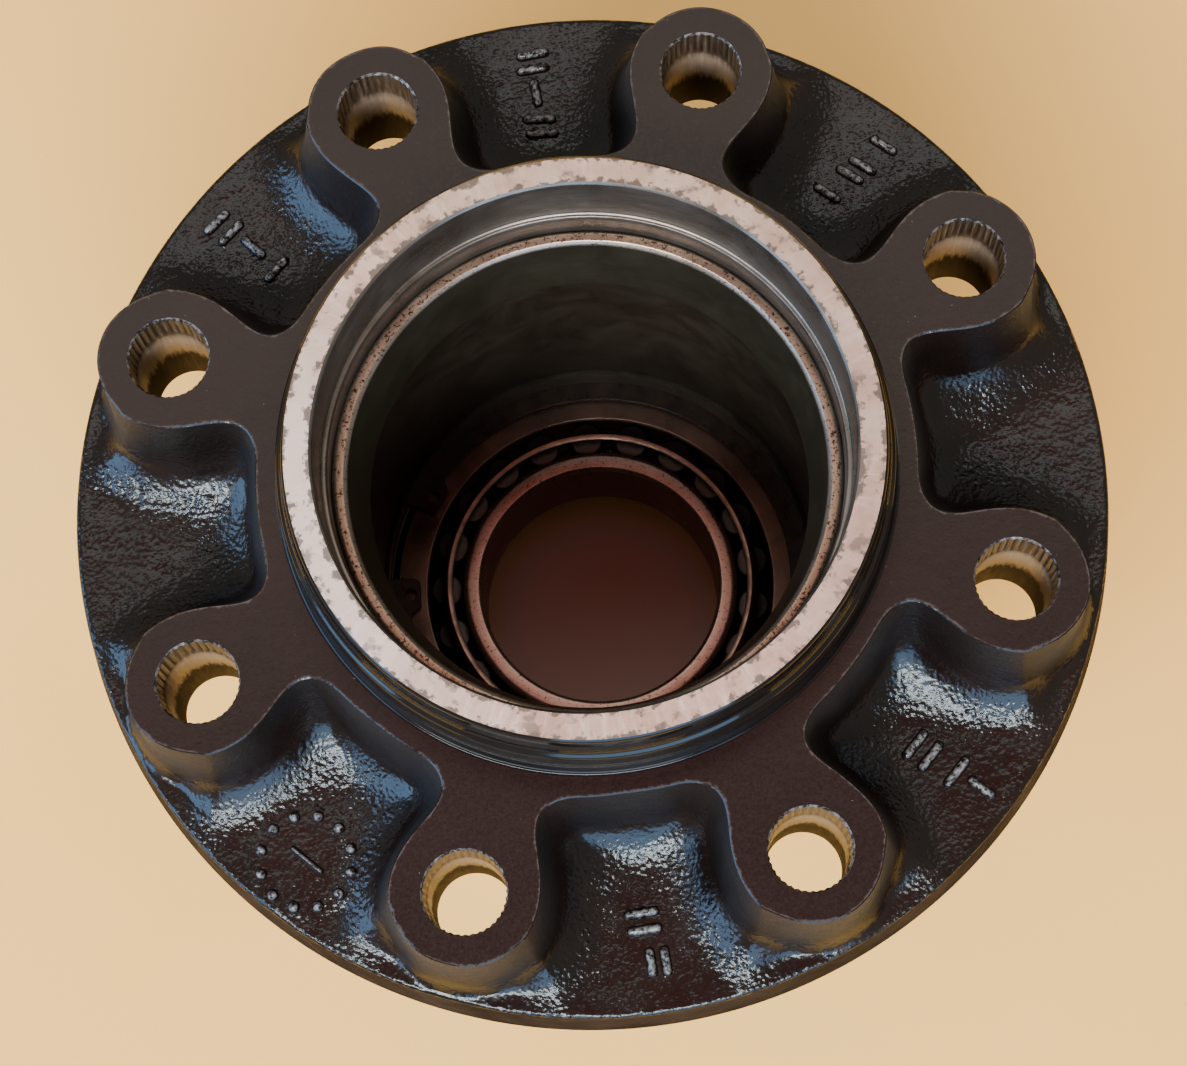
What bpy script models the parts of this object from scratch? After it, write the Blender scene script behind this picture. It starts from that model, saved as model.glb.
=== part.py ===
"""Full-floating rear axle wheel hub with its outer tapered roller bearing trapped inside.

The hub stands on its outboard end face. The origin is the centre of that face, and +Z runs along the spindle
axis to the inboard end, where the inner bearing's cup and the empty seal bore are. The outer bearing sits near
the outboard end, between a shoulder and a snap ring: cup, 21 rollers, stamped cage and cone.

The bearing is laid out on its apex: the lines of the cup race, the roller axes and the cone race all meet in
one point on the spindle axis, so that the rollers roll without sliding.
"""

from math import cos, pi, radians, sin, sqrt, tan

import bmesh
import bpy
from mathutils import Matrix, Vector

MM = 0.001
OBJECT_NAME = "wheel_hub_with_tapered_roller_bearing"
FACETS = 64  # sides of every turned piece, in step so that seated pieces keep an even gap
SEAT_GAP = 0.06  # between pieces that touch on the real object

# Hub, in millimetres. Heights are above the outboard end face.
HUB_TOP_Z = 162.4
FLANGE_BOTTOM_Z = 112.0
POCKET_FLOOR_Z = 123.0
BOSS_TOP_Z = 145.0
FLANGE_BOTTOM_R = 102.0
FLANGE_TOP_R = 99.1
BARREL_R = 57.2
PILOT_R = 58.3
CAVITY_R = 47.0
SEAL_BORE_R = 49.6
MOUTH_R = 41.0
BELOW_BEARING_R = 43.6

# Arms of the flange
STUD_COUNT = 8
FIRST_STUD_DEG = 22.5
STUD_CIRCLE_R = 82.55
STUD_HOLE_R = 7.5
STUD_HOLE_CHAMFER = 0.5
STUD_HOLE_FACETS = 16
BOSS_R = 13.25
BOSS_FACETS = 24
NECK_WIDTH = 16.5
STAR_CORE_R = 62.0
STAR_CORE_INNER_R = 53.0
STAR_OUTER_TOP_R = 96.8
STAR_OUTER_BOTTOM_R = 101.6
STAR_BOTTOM_Z = FLANGE_BOTTOM_Z + 1.0
STAR_CAST_TOP_Z = BOSS_TOP_Z + 3.0  # cast higher than the boss plane, then faced off
DRAFT = tan(radians(16.0))

# Tapped holes for the axle shaft's flange
TAPPED_COUNT = 8
TAPPED_CIRCLE_R = 51.0
TAPPED_MINOR_R = 4.7
TAPPED_CHAMFER = 0.9
TAPPED_DEPTH = 22.0
TAPPED_FACETS = 12

# Inner bearing cup
INNER_CUP_R = 48.42
INNER_CUP_BOTTOM_Z = 125.7
INNER_CUP_TOP_Z = INNER_CUP_BOTTOM_Z + 15.875
INNER_RACE_SMALL_R = 42.4
INNER_RACE_LARGE_R = 45.4

# Outer bearing
OUTER_CUP_R = 46.04
OUTER_CUP_BOTTOM_Z = 26.36
OUTER_CUP_TOP_Z = 46.2
CONE_BORE_R = 26.19
CONE_BOTTOM_Z = 21.6
CONE_TOP_Z = 47.0
SMALL_RIB_R = 30.4
LARGE_RIB_R = 36.6
APEX_Z = 179.4
CUP_RACE_ANGLE = radians(15.8)
CONE_RACE_ANGLE = radians(12.5)
ROLLER_TILT = (CUP_RACE_ANGLE + CONE_RACE_ANGLE) / 2
ROLLER_TAPER = (CUP_RACE_ANGLE - CONE_RACE_ANGLE) / 2
ROLLER_COUNT = 21
FIRST_ROLLER_ANGLE = radians(2.7)
ROLLER_NEAR = 139.05  # the roller's small end, along its axis from the apex
ROLLER_FAR = 156.55
ROLLER_FACETS = 12
ROLLER_CHAMFER = 0.5
RACE_CLEARANCE = 0.1
RIB_CLEARANCE = 0.3

# Cage, as the middle of its sheet
CAGE_TOP_Z = 49.8
CAGE_BOTTOM_Z = 24.6
CAGE_TOP_R = 33.0
CAGE_BOTTOM_R = 40.7
CAGE_SHEET = 1.4
CAGE_FACETS = 4 * ROLLER_COUNT  # every window is cut alike
WINDOW_CLEARANCE = 0.3

# Snap ring
RING_THICKNESS = 2.0
RING_BOTTOM_Z = OUTER_CUP_TOP_Z + SEAT_GAP
RING_OUTER_R = 47.6
RING_INNER_R = 42.15
GROOVE_R = 48.0
GROOVE_BOTTOM_Z = 46.0
GROOVE_TOP_Z = 48.4
RING_GAP_DEG = (150.0, 171.5)
LUG_SPAN_DEG = 10.0
LUG_INNER_R = 39.7
LUG_EYE_R = 1.25
LUG_EYE_CIRCLE_R = 41.9
LUG_EYE_POINTS = 10
RING_STEP_DEG = 5.0


def clear_scene():
    for obj in list(bpy.data.objects):
        bpy.data.objects.remove(obj, do_unlink=True)


def new_collection(name):
    collection = bpy.data.collections.new(name)
    bpy.context.scene.collection.children.link(collection)
    return collection


def new_material(name, color, roughness, metallic):
    material = bpy.data.materials.new(name)
    material.use_nodes = True
    shader = material.node_tree.nodes["Principled BSDF"]
    shader.inputs["Base Color"].default_value = (*color, 1.0)
    shader.inputs["Roughness"].default_value = roughness
    shader.inputs["Metallic"].default_value = metallic
    return material


def painted_iron():
    return new_material("painted_cast_iron", (0.030, 0.024, 0.022), 0.28, 0.0)


def ground_steel():
    return new_material("ground_bearing_steel", (0.45, 0.36, 0.32), 0.32, 1.0)


def oiled_steel():
    return new_material("oiled_roller_steel", (0.28, 0.26, 0.25), 0.25, 1.0)


def stamped_steel():
    return new_material("stamped_cage_steel", (0.20, 0.15, 0.13), 0.4, 1.0)


def spring_steel():
    return new_material("blackened_spring_steel", (0.07, 0.065, 0.06), 0.35, 1.0)


def object_from(name, bm, collection):
    """A new object with this bmesh, whose coordinates are in millimetres."""
    bmesh.ops.scale(bm, vec=(MM, MM, MM), verts=bm.verts)
    mesh = bpy.data.meshes.new(name)
    bm.to_mesh(mesh)
    bm.free()
    obj = bpy.data.objects.new(name, mesh)
    collection.objects.link(obj)
    return obj


def turned(name, profile, collection, facets=FACETS):
    """A turned solid. The (radius, height) points run down its outer side and up its inner side. A solid with no
    bore starts and ends on the axis instead."""
    bm = bmesh.new()
    points = [bm.verts.new((radius, 0.0, height)) for radius, height in profile]
    for start, end in zip(points, points[1:]):
        bm.edges.new((start, end))
    if profile[0][0] > 0.0:
        bm.edges.new((points[-1], points[0]))
    obj = object_from(name, bm, collection)
    screw = obj.modifiers.new("turn", "SCREW")
    screw.axis = "Z"
    screw.angle = 2 * pi
    screw.steps = facets
    screw.render_steps = facets
    screw.use_merge_vertices = True
    screw.merge_threshold = 1e-5
    return obj


def place_on_circle(obj, radius, angle):
    obj.location = (radius * cos(angle) * MM, radius * sin(angle) * MM, 0.0)


def combine(target, other, operation, solver="EXACT"):
    """Cuts, joins or trims the target with the other object, which becomes a hidden helper."""
    modifier = target.modifiers.new(f"{operation.lower()}_{other.name}", "BOOLEAN")
    modifier.operation = operation
    modifier.solver = solver
    modifier.object = other
    other.hide_render = True
    other.display_type = "WIRE"


def finish(obj, material):
    """Applies the modifiers, smooths the round faces and gives the node its material."""
    bpy.context.view_layer.update()
    graph = bpy.context.evaluated_depsgraph_get()
    mesh = bpy.data.meshes.new_from_object(obj.evaluated_get(graph))
    obj.modifiers.clear()
    obj.data = mesh
    mesh.name = obj.name
    mesh.shade_smooth()
    mesh.set_sharp_from_angle(angle=radians(25.0))
    mesh.materials.clear()
    mesh.materials.append(material)


def drafted(size, height):
    """A radius or half width given at the boss plane, as the draft makes it at another height."""
    return size + (BOSS_TOP_Z - height) * DRAFT


def stud_angles():
    return [radians(FIRST_STUD_DEG) + 2 * pi * k / STUD_COUNT for k in range(STUD_COUNT)]


def make_boss(name, angle, collection):
    bm = bmesh.new()
    bmesh.ops.create_cone(
        bm,
        cap_ends=True,
        segments=BOSS_FACETS,
        radius1=drafted(BOSS_R, STAR_BOTTOM_Z),
        radius2=drafted(BOSS_R, STAR_CAST_TOP_Z),
        depth=STAR_CAST_TOP_Z - STAR_BOTTOM_Z,
        matrix=Matrix.Translation((0.0, 0.0, (STAR_CAST_TOP_Z + STAR_BOTTOM_Z) / 2)),
    )
    boss = object_from(name, bm, collection)
    place_on_circle(boss, STUD_CIRCLE_R, angle)
    boss.rotation_euler.z = angle
    return boss


def make_neck(name, angle, collection):
    """A drafted bar from the star's core to the middle of a boss."""
    bm = bmesh.new()
    bmesh.ops.create_cube(bm, size=1.0)
    inner_r = (STAR_CORE_INNER_R + STAR_CORE_R) / 2
    for vert in bm.verts:
        height = STAR_CAST_TOP_Z if vert.co.z > 0.0 else STAR_BOTTOM_Z
        reach = STUD_CIRCLE_R if vert.co.x > 0.0 else inner_r
        side = 1.0 if vert.co.y > 0.0 else -1.0
        vert.co = Vector((reach, side * drafted(NECK_WIDTH / 2, height), height))
    neck = object_from(name, bm, collection)
    neck.rotation_euler.z = angle
    return neck


def make_star(helpers):
    """The raised eight-arm star on the flange, faced off at the boss plane."""
    star = turned(
        "star",
        [
            (drafted(STAR_CORE_R, STAR_CAST_TOP_Z), STAR_CAST_TOP_Z),
            (drafted(STAR_CORE_R, STAR_BOTTOM_Z), STAR_BOTTOM_Z),
            (STAR_CORE_INNER_R, STAR_BOTTOM_Z),
            (STAR_CORE_INNER_R, STAR_CAST_TOP_Z),
        ],
        helpers,
    )
    for number, angle in enumerate(stud_angles(), 1):
        combine(star, make_neck(f"neck_{number}", angle, helpers), "UNION")
        combine(star, make_boss(f"boss_{number}", angle, helpers), "UNION")
    trim_bottom_z = FLANGE_BOTTOM_Z + 0.5
    trim = turned(
        "star_trim",
        [
            (0.0, BOSS_TOP_Z),
            (STAR_OUTER_TOP_R, BOSS_TOP_Z),
            (STAR_OUTER_BOTTOM_R, trim_bottom_z),
            (0.0, trim_bottom_z),
        ],
        helpers,
    )
    combine(star, trim, "INTERSECT")
    return star


def hub_profile():
    outer_side = [
        (54.6, HUB_TOP_Z),
        (55.3, HUB_TOP_Z - 0.8),
        (56.0, 156.2),
        (57.2, 155.2),
        (57.3, 147.6),
        (PILOT_R, 146.4),
        (PILOT_R, POCKET_FLOOR_Z),
        (FLANGE_TOP_R - 0.8, POCKET_FLOOR_Z),
        (FLANGE_TOP_R, POCKET_FLOOR_Z - 0.7),
        (FLANGE_BOTTOM_R, FLANGE_BOTTOM_Z + 0.8),
        (FLANGE_BOTTOM_R - 0.8, FLANGE_BOTTOM_Z),
        (PILOT_R + 1.1, FLANGE_BOTTOM_Z),
        (PILOT_R, FLANGE_BOTTOM_Z - 1.1),
        (PILOT_R, 96.5),
        (BARREL_R, 95.0),
        (BARREL_R, 24.0),
        (PILOT_R, 22.0),
        (PILOT_R, 1.0),
        (PILOT_R - 1.0, 0.0),
    ]
    outer_bearing_bore_r = OUTER_CUP_R + SEAT_GAP
    inner_bearing_bore_r = INNER_CUP_R + SEAT_GAP
    outer_shoulder_z = OUTER_CUP_BOTTOM_Z - SEAT_GAP
    inner_shoulder_z = INNER_CUP_BOTTOM_Z - SEAT_GAP
    inner_side = [
        (MOUTH_R + 1.0, 0.0),
        (MOUTH_R, 1.0),
        (MOUTH_R, 15.0),
        (BELOW_BEARING_R, 17.6),
        (BELOW_BEARING_R, outer_shoulder_z),
        (outer_bearing_bore_r, outer_shoulder_z),
        (outer_bearing_bore_r, GROOVE_BOTTOM_Z),
        (GROOVE_R, GROOVE_BOTTOM_Z),
        (GROOVE_R, GROOVE_TOP_Z),
        (outer_bearing_bore_r, GROOVE_TOP_Z),
        (outer_bearing_bore_r, 54.6),
        (CAVITY_R, 55.6),
        (CAVITY_R, inner_shoulder_z),
        (inner_bearing_bore_r, inner_shoulder_z),
        (inner_bearing_bore_r, 146.8),
        (SEAL_BORE_R, 147.7),
        (SEAL_BORE_R, HUB_TOP_Z - 0.6),
        (SEAL_BORE_R + 0.6, HUB_TOP_Z),
    ]
    return outer_side + inner_side


def make_stud_hole(name, angle, helpers):
    hole = turned(
        name,
        [
            (0.0, BOSS_TOP_Z + 1.0),
            (STUD_HOLE_R + STUD_HOLE_CHAMFER + 1.0, BOSS_TOP_Z + 1.0),
            (STUD_HOLE_R, BOSS_TOP_Z - STUD_HOLE_CHAMFER),
            (STUD_HOLE_R, FLANGE_BOTTOM_Z - 1.0),
            (0.0, FLANGE_BOTTOM_Z - 1.0),
        ],
        helpers,
        STUD_HOLE_FACETS,
    )
    place_on_circle(hole, STUD_CIRCLE_R, angle)
    return hole


def make_tapped_hole(name, angle, helpers):
    hole = turned(
        name,
        [
            (0.0, TAPPED_DEPTH + 2.5),
            (TAPPED_MINOR_R, TAPPED_DEPTH),
            (TAPPED_MINOR_R, TAPPED_CHAMFER),
            (TAPPED_MINOR_R + TAPPED_CHAMFER + 1.0, -1.0),
            (0.0, -1.0),
        ],
        helpers,
        TAPPED_FACETS,
    )
    place_on_circle(hole, TAPPED_CIRCLE_R, angle)
    return hole


def make_hub(parts, helpers):
    """The casting with its holes. EXACT leaves open edges where the star meets the barrel, so it uses MANIFOLD."""
    hub = turned("hub", hub_profile(), parts)
    combine(hub, make_star(helpers), "UNION", "MANIFOLD")
    for number, angle in enumerate(stud_angles(), 1):
        hole = make_stud_hole(f"stud_hole_{number}", angle, helpers)
        combine(hub, hole, "DIFFERENCE", "MANIFOLD")
    for number in range(TAPPED_COUNT):
        angle = 2 * pi * number / TAPPED_COUNT
        hole = make_tapped_hole(f"tapped_hole_{number + 1}", angle, helpers)
        combine(hub, hole, "DIFFERENCE", "MANIFOLD")
    finish(hub, painted_iron())


def make_inner_cup(parts):
    cup = turned(
        "inner_bearing_cup",
        [
            (INNER_CUP_R - 0.5, INNER_CUP_TOP_Z),
            (INNER_CUP_R, INNER_CUP_TOP_Z - 0.6),
            (INNER_CUP_R, INNER_CUP_BOTTOM_Z + 1.4),
            (INNER_CUP_R - 1.4, INNER_CUP_BOTTOM_Z),
            (INNER_RACE_SMALL_R + 0.8, INNER_CUP_BOTTOM_Z),
            (INNER_RACE_SMALL_R, INNER_CUP_BOTTOM_Z + 0.9),
            (INNER_RACE_LARGE_R, INNER_CUP_TOP_Z - 0.6),
            (INNER_RACE_LARGE_R + 0.5, INNER_CUP_TOP_Z),
        ],
        parts,
    )
    finish(cup, ground_steel())


def race_r(angle, height):
    """Radius at this height of a race whose line meets the apex at this angle."""
    return (APEX_Z - height) * tan(angle)


def make_outer_cup(parts):
    lip_z = OUTER_CUP_TOP_Z - 0.5
    edge_z = OUTER_CUP_BOTTOM_Z + 0.5
    cup = turned(
        "outer_bearing_cup",
        [
            (OUTER_CUP_R - 1.2, OUTER_CUP_TOP_Z),
            (OUTER_CUP_R, OUTER_CUP_TOP_Z - 1.3),
            (OUTER_CUP_R, OUTER_CUP_BOTTOM_Z + 0.7),
            (OUTER_CUP_R - 0.7, OUTER_CUP_BOTTOM_Z),
            (race_r(CUP_RACE_ANGLE, edge_z) + 0.5, OUTER_CUP_BOTTOM_Z),
            (race_r(CUP_RACE_ANGLE, edge_z), edge_z),
            (race_r(CUP_RACE_ANGLE, lip_z), lip_z),
            (race_r(CUP_RACE_ANGLE, lip_z) + 0.6, OUTER_CUP_TOP_Z),
        ],
        parts,
    )
    finish(cup, ground_steel())


def rib_face_z(radius):
    """Height of the large rib's face, which is square to the roller axes."""
    along = ROLLER_FAR + RIB_CLEARANCE
    return APEX_Z - (along - radius * sin(ROLLER_TILT)) / cos(ROLLER_TILT)


def make_cone(parts):
    race_top_z = 43.9
    race_bottom_r = race_r(CONE_RACE_ANGLE, rib_face_z(SMALL_RIB_R + 3.5))
    cone = turned(
        "bearing_cone",
        [
            (SMALL_RIB_R - 1.0, CONE_TOP_Z),
            (SMALL_RIB_R, CONE_TOP_Z - 0.9),
            (SMALL_RIB_R, race_top_z + 0.4),
            (race_r(CONE_RACE_ANGLE, race_top_z), race_top_z),
            (race_bottom_r, rib_face_z(race_bottom_r)),
            (LARGE_RIB_R, rib_face_z(LARGE_RIB_R)),
            (LARGE_RIB_R, CONE_BOTTOM_Z + 0.8),
            (LARGE_RIB_R - 0.8, CONE_BOTTOM_Z),
            (CONE_BORE_R + 1.4, CONE_BOTTOM_Z),
            (CONE_BORE_R, CONE_BOTTOM_Z + 1.4),
            (CONE_BORE_R, CONE_TOP_Z - 0.6),
            (CONE_BORE_R + 0.6, CONE_TOP_Z),
        ],
        parts,
    )
    finish(cone, ground_steel())


def roller_r(along):
    """Radius of the roller at this distance from the apex along its axis."""
    return along * tan(ROLLER_TAPER) - RACE_CLEARANCE


def roller_places():
    """Each roller's place: its middle, in millimetres, with local +Z towards the apex."""
    middle = (ROLLER_NEAR + ROLLER_FAR) / 2
    tilt = Matrix.Rotation(-ROLLER_TILT, 4, "Y")
    out = Matrix.Translation((middle * sin(ROLLER_TILT), 0.0, APEX_Z - middle * cos(ROLLER_TILT)))
    for number in range(ROLLER_COUNT):
        angle = FIRST_ROLLER_ANGLE + 2 * pi * number / ROLLER_COUNT
        yield Matrix.Rotation(angle, 4, "Z") @ out @ tilt


def make_rollers(parts):
    half = (ROLLER_FAR - ROLLER_NEAR) / 2
    small_r = roller_r(ROLLER_NEAR)
    large_r = roller_r(ROLLER_FAR)
    steel = oiled_steel()
    for number, place in enumerate(roller_places(), 1):
        roller = turned(
            f"roller_{number:02d}",
            [
                (0.0, half),
                (small_r - ROLLER_CHAMFER, half),
                (small_r, half - ROLLER_CHAMFER),
                (large_r, ROLLER_CHAMFER - half),
                (large_r - ROLLER_CHAMFER, -half),
                (0.0, -half),
            ],
            parts,
            ROLLER_FACETS,
        )
        roller.location = place.translation * MM
        roller.rotation_euler = place.to_euler()
        finish(roller, steel)


def make_cage_windows(helpers):
    """One tapered four-sided cutter round each roller."""
    bm = bmesh.new()
    quarter_turn = Matrix.Rotation(pi / 4, 4, "Z")
    for place in roller_places():
        bmesh.ops.create_cone(
            bm,
            cap_ends=True,
            segments=4,
            radius1=sqrt(2) * (roller_r(ROLLER_FAR) + WINDOW_CLEARANCE),
            radius2=sqrt(2) * (roller_r(ROLLER_NEAR) + WINDOW_CLEARANCE),
            depth=ROLLER_FAR - ROLLER_NEAR + 2 * WINDOW_CLEARANCE,
            matrix=place @ quarter_turn,
        )
    return object_from("cage_windows", bm, helpers)


def make_cage(parts, helpers):
    slope = (CAGE_BOTTOM_R - CAGE_TOP_R) / (CAGE_TOP_Z - CAGE_BOTTOM_Z)
    half_wall = CAGE_SHEET / 2 * sqrt(1 + slope * slope)
    cage = turned(
        "bearing_cage",
        [
            (CAGE_TOP_R + half_wall, CAGE_TOP_Z),
            (CAGE_BOTTOM_R + half_wall, CAGE_BOTTOM_Z),
            (CAGE_BOTTOM_R - half_wall, CAGE_BOTTOM_Z),
            (CAGE_TOP_R - half_wall, CAGE_TOP_Z),
        ],
        parts,
        CAGE_FACETS,
    )
    cage.rotation_euler.z = FIRST_ROLLER_ANGLE
    combine(cage, make_cage_windows(helpers), "DIFFERENCE")
    finish(cage, stamped_steel())


def arc(radius, start_deg, end_deg):
    """Points along an arc round the axis, in millimetres, ends included."""
    count = max(1, round(abs(end_deg - start_deg) / RING_STEP_DEG))
    angles = [radians(start_deg + (end_deg - start_deg) * k / count) for k in range(count + 1)]
    return [(radius * cos(angle), radius * sin(angle)) for angle in angles]


def add_outline(curve, points):
    spline = curve.splines.new("POLY")
    spline.points.add(len(points) - 1)
    for point, (x, y) in zip(spline.points, points):
        point.co = (x * MM, y * MM, 0.0, 1.0)
    spline.use_cyclic_u = True


def make_snap_ring(parts):
    """A flat internal ring with a gap and a lug at each end of it, each with an eye for the pliers."""
    gap_start, gap_end = RING_GAP_DEG
    outline = arc(RING_OUTER_R, gap_end, gap_start + 360.0)
    outline += arc(LUG_INNER_R, gap_start + 360.0, gap_start + 360.0 - LUG_SPAN_DEG)
    outline += arc(RING_INNER_R, gap_start + 360.0 - LUG_SPAN_DEG, gap_end + LUG_SPAN_DEG)
    outline += arc(LUG_INNER_R, gap_end + LUG_SPAN_DEG, gap_end)
    curve = bpy.data.curves.new("snap_ring_outline", "CURVE")
    curve.dimensions = "2D"
    curve.fill_mode = "BOTH"
    curve.extrude = RING_THICKNESS / 2 * MM
    add_outline(curve, outline)
    for middle_deg in (gap_start - LUG_SPAN_DEG / 2, gap_end + LUG_SPAN_DEG / 2):
        x, y = arc(LUG_EYE_CIRCLE_R, middle_deg, middle_deg)[0]
        turns = [2 * pi * k / LUG_EYE_POINTS for k in range(LUG_EYE_POINTS)]
        add_outline(curve, [(x + LUG_EYE_R * cos(t), y + LUG_EYE_R * sin(t)) for t in turns])
    flat = bpy.data.objects.new("snap_ring_outline", curve)
    parts.objects.link(flat)
    bpy.context.view_layer.update()
    graph = bpy.context.evaluated_depsgraph_get()
    bm = bmesh.new()
    bm.from_mesh(bpy.data.meshes.new_from_object(flat.evaluated_get(graph)))
    bmesh.ops.remove_doubles(bm, verts=bm.verts, dist=1e-6)
    bmesh.ops.recalc_face_normals(bm, faces=bm.faces)
    mesh = bpy.data.meshes.new("snap_ring")
    bm.to_mesh(mesh)
    bm.free()
    bpy.data.objects.remove(flat, do_unlink=True)
    ring = bpy.data.objects.new("snap_ring", mesh)
    ring.location.z = (RING_BOTTOM_Z + RING_THICKNESS / 2) * MM
    parts.objects.link(ring)
    finish(ring, spring_steel())


def main():
    clear_scene()
    parts = new_collection(OBJECT_NAME)
    helpers = new_collection("cutters")
    make_hub(parts, helpers)
    make_inner_cup(parts)
    make_outer_cup(parts)
    make_snap_ring(parts)
    make_cone(parts)
    make_cage(parts, helpers)
    make_rollers(parts)


main()
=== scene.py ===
from math import cos, pi, radians, sin, sqrt, tan

import bmesh
import bpy
import numpy as np
from mathutils import Matrix, Vector
from mathutils.geometry import delaunay_2d_cdt


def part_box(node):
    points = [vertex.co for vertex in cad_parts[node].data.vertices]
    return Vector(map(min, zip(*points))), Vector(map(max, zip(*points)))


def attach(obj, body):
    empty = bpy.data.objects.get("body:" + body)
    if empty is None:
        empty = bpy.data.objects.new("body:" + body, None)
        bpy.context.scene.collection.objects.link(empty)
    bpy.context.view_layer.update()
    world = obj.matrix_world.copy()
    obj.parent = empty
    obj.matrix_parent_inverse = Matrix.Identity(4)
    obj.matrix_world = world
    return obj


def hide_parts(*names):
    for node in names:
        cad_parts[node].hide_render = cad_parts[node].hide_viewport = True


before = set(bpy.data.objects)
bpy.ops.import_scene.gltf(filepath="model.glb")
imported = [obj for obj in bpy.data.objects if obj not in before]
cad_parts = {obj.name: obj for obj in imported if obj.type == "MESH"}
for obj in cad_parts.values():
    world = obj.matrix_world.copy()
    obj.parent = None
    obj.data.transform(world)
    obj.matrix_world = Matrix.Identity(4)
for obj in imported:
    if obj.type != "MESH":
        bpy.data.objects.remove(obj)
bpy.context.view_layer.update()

MM = 0.001


def extent(node):
    """The node's outer radius, bottom and top, in millimetres."""
    low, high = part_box(node)
    return high[0] / MM, low[2] / MM, high[2] / MM


# All sizes below are in millimetres, and heights are above the outboard end face.
FLANGE_R, _, HUB_TOP_Z = extent("hub")

# Flange
POCKET_FLOOR_Z = 123.0
BOSS_TOP_Z = 145.0
FLANGE_BOTTOM_Z = 112.0
RIM_BOTTOM_Z = FLANGE_BOTTOM_Z + 0.8
RIM_DRAFT = 0.14
RIM_ROUND = 1.0
RIM_DENT = 0.10
RIM_CHAMFER = 0.8
STAR_INNER_R = 58.6
FLANGE_BOTTOM_INNER_R = 59.4

# Star of arms
STUD_COUNT = 8
FIRST_STUD = radians(22.5)
STUD_CIRCLE_R = 82.55
STAR_CORE_R = 62.0
NECK_HALF_WIDTH = 8.25
BOSS_R = 13.25
CORE_BLEND = 7.5
BOSS_BLEND = 8.0
CORNER_SPREAD = 1.0
SPREAD_START = 2.0
SPREAD_REACH = 12.0
SPREAD_SOFTNESS = 2.0
EDGE_WAVER = 0.22

# Walls from the star's face down to the pocket floors, steeper on the outer side of each boss
EDGE_WIDTH = 0.22
EDGE_DROP = 0.2
WALL_WIDTH = 12.6
WALL_WAVER = 1.8
BOSS_WALL_WIDTH = 4.3
OUTER_SIDE_START = 83.0
OUTER_SIDE_FADE = 12.0
OUTER_SIDE_HALF_WIDTH = 23.0
OUTER_SIDE_BLUR = 14.0
STEEP_SHARE = 0.32
STEEP_DROP = 0.52
GENTLE_CURVE = 2.0
CONTOUR_LEVELS = (0.0, EDGE_WIDTH, 0.6, 1.1, 1.6, 2.2, 2.9, 3.7, 4.7, 5.9, 7.3, 8.8, 10.3)
FLOOR_START = 11.1
FLOOR_GRID = 0.95
FACE_GRID = 2.5

# Holes
STUD_HOLE_R = 7.5
STUD_HOLE_LIP = 0.5
STUD_LIP_R = STUD_HOLE_R + STUD_HOLE_LIP
STUD_SHANK_LIP = -0.06
STUD_HOLE_SIDES = 144
KNURL_TEETH = 36
KNURL_DEPTH = 0.4
TAPPED_COUNT = 8
TAPPED_CIRCLE_R = 51.0
TAPPED_MINOR_R = 4.7
TAPPED_MOUTH_R = TAPPED_MINOR_R + 0.9
THREAD_END_Z = 14.0
TAPPED_END_Z = 22.0
DRILL_TIP_Z = 24.5
THREAD_DEPTH = 0.55
THREAD_PITCH = 1.75
TAPPED_SIDES = 36

# Turned surfaces
RING_FACE_OUTER_R = 54.8
RING_FACE_INNER_R = 50.15
SEAL_BORE_R = 49.6
INNER_SEAT_R = 48.48
INNER_SEAT_Z = 125.64
CAVITY_R = 47.0
CAVITY_BOTTOM_Z = 54.6
OUTER_SEAT_R = 46.1
OUTER_SEAT_Z = 26.3
GROOVE_R = 48.0
GROOVE_TOP_Z = 48.4
GROOVE_BOTTOM_Z = 46.0
SHOULDER_R = 43.6
MOUTH_R = 41.0
PILOT_R = 58.3
BARREL_R = 57.0
END_OUTER_R = 57.3
END_INNER_R = 42.0
BARREL_SIDES = 240
RIM_SIDES = 720

# Bearings
APEX_Z = 179.4
CUP_RACE_ANGLE = radians(15.8)
CONE_RACE_ANGLE = radians(12.5)
ROLLER_TILT = (CUP_RACE_ANGLE + CONE_RACE_ANGLE) / 2
ROLLER_TAPER = (CUP_RACE_ANGLE - CONE_RACE_ANGLE) / 2
ROLLER_COUNT = 21
FIRST_ROLLER_ANGLE = radians(2.7)
ROLLER_NEAR = 139.05
ROLLER_FAR = 156.55
RACE_CLEARANCE = 0.1
RIB_CLEARANCE = 0.3
CONE_BORE_R = 26.19
CONE_SMALL_R = 30.4
CONE_RACE_TOP_Z = 43.9
RACE_SIDES = 256

# Camera, its place in metres
CAMERA_PLACE = (-0.00146, -0.13976, 0.6513)
CAMERA_TURN = (radians(13.98), radians(1.61), radians(-6.98))
CAMERA_LENS = 85.0


def make_camera():
    data = bpy.data.cameras.new("camera")
    data.lens = CAMERA_LENS
    data.sensor_width = 36.0
    data.clip_start = 0.01
    data.clip_end = 20.0
    camera = bpy.data.objects.new("camera", data)
    camera.location = CAMERA_PLACE
    camera.rotation_euler = CAMERA_TURN
    bpy.context.scene.collection.objects.link(camera)
    bpy.context.scene.camera = camera


# ---------------------------------------------------------------- meshes


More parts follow.
